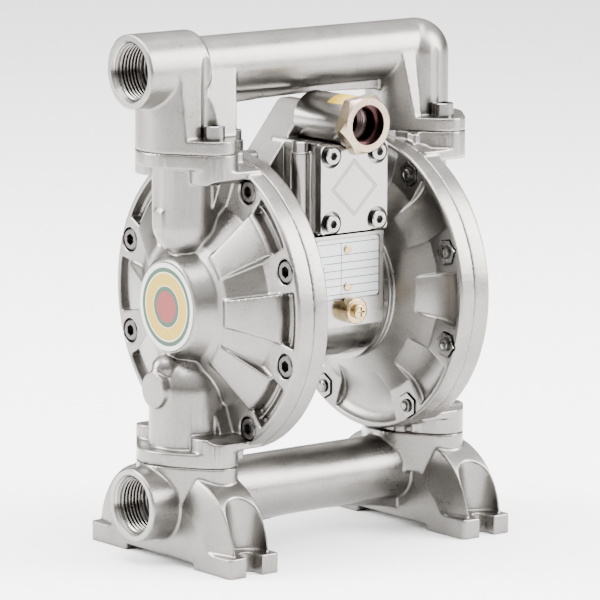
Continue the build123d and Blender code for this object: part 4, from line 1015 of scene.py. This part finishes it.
# ---------------------------------------------------------------- sub-assemblies
@dataclass
class Casting:
    """A cast piece with rounded edges that stands for its hard-edged solid.

    Attributes:
        node: Node of the solid.
        finish: Surface of the casting.
        voxel: Grain of the skin in millimetres.
        relax: Rounds of smoothing.
        keep: Share of the faces that stay.
        port_z: Height of the port's axis in millimetres, if it has one.
        face_gap: How far the skin stays behind the port's machined face, in millimetres.
        ream_r: Radius that the mouth is opened to.
        ream_end: X where the opening ends.
    """

    node: str
    finish: MetalFinish = CAST
    voxel: float = 0.8
    relax: int = 2
    keep: float = 0.3
    port_z: float | None = None
    face_gap: float = 0.22
    ream_r: float = 17.4
    ream_end: float = -105.4

    def ream(self, mesh: bpy.types.Mesh) -> None:
        """Takes the skin back from the port's machined face and thread.

        Args:
            mesh: Mesh of the skin.
        """
        flat = np.empty(len(mesh.vertices) * 3, dtype=np.float32)
        mesh.vertices.foreach_get("co", flat)
        points = flat.reshape(-1, 3)
        points[:, 0] = np.maximum(points[:, 0], (FACE_X + self.face_gap) * MM)
        rise = points[:, 2] - self.port_z * MM
        radius = np.hypot(points[:, 1], rise)
        near = (points[:, 0] < self.ream_end * MM) & (radius < self.ream_r * MM) & (radius > TINY)
        stretch = self.ream_r * MM / radius[near]
        points[near, 1] *= stretch
        points[near, 2] = self.port_z * MM + rise[near] * stretch
        mesh.vertices.foreach_set("co", points.ravel())
        mesh.update()

    def build(self) -> None:
        """Makes the skin and lets it replace the node."""
        source = frame["nodes"][self.node]
        rough = bpy.data.objects.new(self.node + "_rough", source.data.copy())
        bpy.context.collection.objects.link(rough)
        voxel = self.voxel * 1.0
        mesh = recast(rough, voxel, self.relax, self.keep)
        bpy.data.objects.remove(rough)
        if self.port_z is not None:
            self.ream(mesh)
        mesh.materials.clear()
        skin = bpy.data.objects.new(self.node + "_casting", mesh)
        bpy.context.collection.objects.link(skin)
        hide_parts(self.node)
        settle(skin, self.finish)


@dataclass(frozen=True)
class PipeThread:
    """Sizes of a female pipe thread in millimetres.

    Attributes:
        root_r: Radius of the thread's root.
        crest_r: Radius of the thread's crest.
        pitch: Pitch of the thread.
        length: Length of the thread.
    """

    root_r: float
    crest_r: float
    pitch: float
    length: float


@dataclass
class ThreadedMouth:
    """Female thread cut in the mouth of a port.

    Attributes:
        name: Name of the piece.
        mouth: Centre of the thread's outer end in millimetres.
        inward: Direction into the bore.
        thread: Sizes of the thread.
        finish: Surface of the thread.
        facets: Facets round the bore.
        rows_per_pitch: Rows of points in one pitch.
        wall: Thickness of the sleeve outside the root in millimetres.
        sharpness: Power that shapes the crest; below 1 it is broader.
    """

    name: str
    mouth: Point
    inward: Point
    thread: PipeThread
    finish: MetalFinish
    facets: int = 112
    rows_per_pitch: int = 14
    wall: float = 0.25
    sharpness: float = 0.8

    def bore_radius(self, depth: float, turn: float) -> float:
        """Radius of the thread's surface.

        Args:
            depth: Distance from the outer end in millimetres.
            turn: Place round the bore, in turns.

        Returns:
            The radius in millimetres.
        """
        cut = self.thread
        fade = min(1.0, depth / cut.pitch, (cut.length - depth) / cut.pitch)
        wave = 0.5 - 0.5 * math.cos(2 * math.pi * (depth / cut.pitch - turn))
        return cut.root_r - (cut.root_r - cut.crest_r) * wave ** self.sharpness * fade

    def build(self) -> None:
        """Makes the threaded sleeve."""
        around, length = self.facets, self.thread.length
        rows = int(length / self.thread.pitch * self.rows_per_pitch) + 1
        along, u, v = basis(Vector(self.inward))
        origin = Vector(self.mouth)
        verts: list[Vector] = []
        for row in range(rows):
            depth = length * row / (rows - 1)
            for k in range(around):
                radius = self.bore_radius(depth, k / around)
                verts.append((origin + along * depth + spoke(u, v, k, around) * radius) * MM)
        outer = self.thread.root_r + self.wall
        for depth in (length, 0.0):
            base = origin + along * depth
            verts.extend((base + spoke(u, v, k, around) * outer) * MM for k in range(around))
        faces: list[tuple[int, ...]] = []
        for row in range(rows + 2):
            after = (row + 1) % (rows + 2)
            for k in range(around):
                n = (k + 1) % around
                faces.append((row * around + k, after * around + k, after * around + n, row * around + n))
        settle(make_object(self.name, verts, faces), self.finish)


@dataclass
class Castings:
    """All cast pieces of the pump."""

    pieces: tuple[Casting, ...] = (
        Casting("fluid_cover_left"), Casting("fluid_cover_right"),
        Casting("air_chamber_left", voxel=0.65, relax=1), Casting("air_chamber_right", voxel=0.65, relax=1),
        Casting("outlet_manifold", port_z=OUTLET_Z), Casting("inlet_manifold", port_z=INLET_Z),
        Casting("valve_body", VALVE_CAST, voxel=0.65),
    )

    def build(self) -> None:
        """Makes every casting."""
        for piece in self.pieces:
            piece.build()


@dataclass
class Ports:
    """Machined faces and threads of both pipe ports, and the thread of the air inlet.

    Attributes:
        face: Outline of a machined face, as depth and radius in millimetres.
        thread_depth: Depth of a port's thread behind its face.
        port_thread: Thread of both pipe ports.
        air_mouth_y: Y of the air thread's outer end.
        air_thread: Thread of the air inlet.
    """

    face: tuple[Span, ...] = (
        (0.0, 18.0), (0.0, 20.6), (0.5, 21.1), (1.2, 21.1), (1.2, 17.2), (1.9, 17.2), (1.9, 16.5),
    )
    thread_depth: float = 2.0
    port_thread: PipeThread = PipeThread(16.6, 15.1, 2.309, 17.6)
    air_mouth_y: float = -47.0
    air_thread: PipeThread = PipeThread(10.46, 9.3, 1.814, 14.5)

    def build(self) -> None:
        """Makes the faces and the three threads."""
        inward = (1, 0, 0)
        for label, level in (("outlet", OUTLET_Z), ("inlet", INLET_Z)):
            ring = lathe(label + "_port_face", self.face, (FACE_X, 0, level), inward, smooth=False)
            settle(ring, MACHINED)
            mouth = (FACE_X + self.thread_depth, 0, level)
            ThreadedMouth(label + "_port_thread", mouth, inward, self.port_thread, THREAD).build()
        air_mouth = (0, self.air_mouth_y, AIR_INLET_Z)
        ThreadedMouth("air_inlet_thread", air_mouth, (0, 1, 0), self.air_thread, DARK_THREAD).build()


@dataclass
class AirSticker:
    """Plain yellow sticker on the crown of the air fitting.

    Attributes:
        radius: Radius of the round body in millimetres.
        ends: Y of the sticker's ends.
        arc: Angles of the sticker's edges from the crown, in degrees.
        skins: Height of its underside and of its top above the body.
        steps: Facets along the arc.
    """

    radius: float = 15.4
    ends: Span = (-52.0, -37.0)
    arc: Span = (-42.0, 16.0)
    skins: Span = (0.02, 0.16)
    steps: int = 18

    def build(self) -> None:
        """Makes the sticker as a thin closed shell."""
        first, last = self.arc
        row = self.steps + 1
        verts: list[Point] = []
        for y in self.ends:
            for lift in self.skins:
                r = self.radius + lift
                for k in range(row):
                    turn = math.radians(first + (last - first) * k / self.steps)
                    verts.append((r * math.sin(turn) * MM, y * MM, (AIR_INLET_Z + r * math.cos(turn)) * MM))
        low_in, low_out, high_in, high_out = (row * k for k in range(4))
        rims = ((low_out, high_out), (high_in, low_in), (low_in, low_out), (high_out, high_in))
        faces = [(a + k, a + k + 1, b + k + 1, b + k) for k in range(self.steps) for a, b in rims]
        faces.append((low_in, high_in, high_out, low_out))
        faces.append(tuple(corner + self.steps for corner in (low_out, high_out, high_in, low_in)))
        settle(make_object("air_sticker", verts, faces), STICKER)


@dataclass
class BoltEnds:
    """Domed ends of the cover bolts, standing out of their nuts.

    Attributes:
        circle_r: Radius of the bolt circle in millimetres.
        angles: Place of each bolt round the shaft line, in degrees.
        radius: Radius of a bolt end.
        outline: Height over the nut's face, in millimetres, and share of the radius.
        facets: Facets round a bolt end.
    """

    circle_r: float = 79.6
    angles: tuple[float, ...] = (-60.0, -20.0, 20.0, 60.0, 120.0, 160.0, 200.0, 240.0)
    radius: float = 3.7
    outline: tuple[Span, ...] = ((0.05, 0.0), (0.05, 1.0), (0.9, 1.0), (1.45, 0.72), (1.7, 0.3), (1.7, 0.0))
    facets: int = 24

    def build(self) -> None:
        """Makes both sets of bolt ends."""
        profile = [(height, share * self.radius) for height, share in self.outline]
        for side, word in ((-1, "left"), (1, "right")):
            ends = []
            for angle in self.angles:
                turn = math.radians(angle)
                y, z = self.circle_r * math.cos(turn), AXIS_Z + self.circle_r * math.sin(turn)
                ends.append(lathe("bolt_end", profile, (side * NUT_X, y, z), (-side, 0, 0), self.facets))
            settle(joined("bolt_ends_" + word, ends), SCREW)


@dataclass
class CadFinishes:
    """Finish of each solid that is shown as it is."""

    rules: tuple[tuple[str, Finish], ...] = (
        ("cover_bolts", DARK_STEEL), ("cover_nuts", SCREW), ("chamber_screws", MACHINED),
        ("outlet_screws", SCREW), ("inlet_screws", SCREW), ("valve_body_screws", MACHINED),
        ("valve_cover_screws", MACHINED), ("valve_cover_gasket", RUBBER), ("valve_body_gasket", RUBBER),
        ("chamber_gasket", RUBBER), ("valve_cover", MarkedCoverFinish()), ("centre_block", POLISHED),
        ("air_inlet_fitting", FittingFinish()), ("name_plate_rivets", BRASS),
        ("name_plate", RuledPlateFinish()), ("earth_", BRASS), ("badge_", BadgeFinish()),
        ("diaphragm_", RUBBER), ("seat_rings", RUBBER), ("shaft_seals", RUBBER), ("spool_rings", RUBBER),
        ("shaft_bushes", BRONZE), ("valve_sleeve", BRONZE), ("exhaust_silencer", SILENCER),
        ("outlet_ball", PTFE), ("inlet_ball", PTFE), ("", MACHINED),
    )

    def build(self) -> None:
        """Dresses every solid by the first rule that its name starts with."""
        for node, piece in frame["nodes"].items():
            finish = next(finish for start, finish in self.rules if node.startswith(start))
            dress(piece, Finishes.of(finish))
            LOG.info("dressed %s in %s", node, finish.name)


@dataclass(frozen=True)
class Softbox:
    """A soft area light.

    Attributes:
        name: Name of the light.
        azimuth: Compass place round the pump in degrees; 0 is in front.
        elevation: Height above the horizon in degrees.
        distance: Distance from the pump in metres.
        size: Width and height in metres.
        watts: Power.
    """

    name: str
    azimuth: float
    elevation: float
    distance: float
    size: Span
    watts: float

    def build(self, target: Vector) -> None:
        """Places the light.

        Args:
            target: Point that it shines at.
        """
        data = bpy.data.lights.new(self.name, "AREA")
        data.shape = "RECTANGLE"
        data.size, data.size_y = self.size
        data.energy = self.watts
        light = bpy.data.objects.new(self.name, data)
        light.location = target + bearing(self.azimuth, self.elevation) * self.distance
        light.rotation_euler = (target - light.location).to_track_quat("-Z", "Y").to_euler()
        bpy.context.collection.objects.link(light)


def bearing(azimuth: float, elevation: float) -> Vector:
    """Unit vector from the pump towards a place round it.

    Args:
        azimuth: 0 is in front, positive to the right, in degrees.
        elevation: Height above the horizon in degrees.

    Returns:
        The direction.
    """
    a, e = math.radians(azimuth), math.radians(elevation)
    return Vector((math.sin(a) * math.cos(e), -math.cos(a) * math.cos(e), math.sin(e)))


@dataclass
class Studio:
    """Floor, light and camera.

    Attributes:
        azimuth: Place of the camera round the pump in degrees; 0 is in front.
        elevation: Height of the camera above the horizon in degrees.
        distance: Distance of the camera from its target in metres.
        roll: Turn of the camera about its own line of sight in degrees.
        lens: Focal length in millimetres.
        sensor: Width of the sensor in millimetres.
        clip: Nearest and furthest distance that the camera shows, in metres.
        target: Point that the camera looks at.
        floor_half: Half the floor's width in metres.
        floor_tone: Colour of the floor.
        floor_shade: Share of that colour in the darker tone.
        floor_tones: Tones that count as darker and lighter.
        floor_rough: Roughness of the floor.
        zenith: Colour of the room overhead.
        horizon: Colour of the room low down.
        sky_span: Heights, as Z of a unit vector, between which the horizon turns into the zenith.
        sky_strength: Strength of the room's light.
        lit_point: Point that the softboxes shine at.
        boxes: The softboxes.
    """

    azimuth: float = -37.94
    elevation: float = 9.72
    distance: float = 2.823
    roll: float = 0.1
    lens: float = 287.8
    sensor: float = 36.0
    clip: Span = (0.05, 60.0)
    target: Point = (-0.00074, 0.00058, 0.142)
    floor_half: float = 8.0
    floor_tone: Colour = (0.97, 0.97, 0.97)
    floor_shade: float = 0.99
    floor_tones: Span = (0.3, 0.7)
    floor_rough: float = 0.8
    zenith: Colour = (1.0, 1.0, 1.0)
    horizon: Colour = (0.14, 0.115, 0.095)
    sky_span: Span = (0.12, 0.62)
    sky_strength: float = 2.3
    lit_point: Point = (0.0, 0.0, 0.15)
    boxes: tuple[Softbox, ...] = (
        Softbox("front_right", 48.0, 28.0, 1.9, (1.0, 1.6), 120.0),
        Softbox("back_left", -128.0, 26.0, 2.0, (1.0, 1.5), 120.0),
        Softbox("overhead", -20.0, 84.0, 2.0, (1.8, 1.8), 150.0),
    )

    def build(self) -> None:
        """Makes the studio."""
        self._floor()
        self._sky()
        for box in self.boxes:
            box.build(Vector(self.lit_point))
        self._camera()

    def _floor(self) -> None:
        """Makes the pale floor."""
        h = self.floor_half
        corners = [(-h, -h, 0), (h, -h, 0), (h, h, 0), (-h, h, 0)]
        floor = make_object("floor", corners, [(0, 1, 2, 3)], smooth=False)
        bench = MaterialBench("pale_floor")
        grain = bench.group(Effect.BLASTED_GRAIN)
        tone = bench.spread(grain.outputs["Tone"], self.floor_tones)
        shaded = tuple(c * self.floor_shade for c in self.floor_tone)
        bench.surface(bench.mix(tone, shaded, self.floor_tone), self.floor_rough, metallic=0.0)
        dress(floor, bench.material)

    def _sky(self) -> None:
        """Lights the room from above, with a darker warm horizon."""
        world = bpy.data.worlds.new("room")
        world.use_nodes = True
        tree = world.node_tree
        ground = tree.nodes["Background"]
        place = tree.nodes.new("ShaderNodeTexCoord")
        parts = tree.nodes.new("ShaderNodeSeparateXYZ")
        ramp = tree.nodes.new("ShaderNodeValToRGB")
        ramp.color_ramp.interpolation = "EASE"
        stops = zip(ramp.color_ramp.elements, self.sky_span, (self.horizon, self.zenith))
        for stop, position, colour in stops:
            stop.position = position
            stop.color = (*colour, 1.0)
        tree.links.new(place.outputs["Generated"], parts.inputs[0])
        tree.links.new(parts.outputs["Z"], ramp.inputs["Fac"])
        tree.links.new(ramp.outputs["Color"], ground.inputs["Color"])
        ground.inputs["Strength"].default_value = self.sky_strength
        bpy.context.scene.world = world

    def _camera(self) -> None:
        """Places the camera."""
        data = bpy.data.cameras.new("camera")
        data.lens = self.lens
        data.sensor_width = self.sensor
        data.clip_start, data.clip_end = self.clip
        camera = bpy.data.objects.new("camera", data)
        back = bearing(self.azimuth, self.elevation)
        camera.location = Vector(self.target) + back * self.distance
        aim = (-back).to_track_quat("-Z", "Y").to_matrix()
        roll = Matrix.Rotation(math.radians(self.roll), 3, "Z")
        camera.rotation_euler = (aim @ roll).to_euler()
        bpy.context.collection.objects.link(camera)
        bpy.context.scene.camera = camera


def main() -> None:
    """Builds every sub-assembly in order."""
    logging.basicConfig(level=logging.INFO, format="%(name)s: %(message)s")
    for assembly in (Studio(), CadFinishes(), Castings(), Ports(), AirSticker(), BoltEnds()):
        assembly.build()
        LOG.info("finished %s", type(assembly).__name__)


if __name__ == "__main__":
    main()
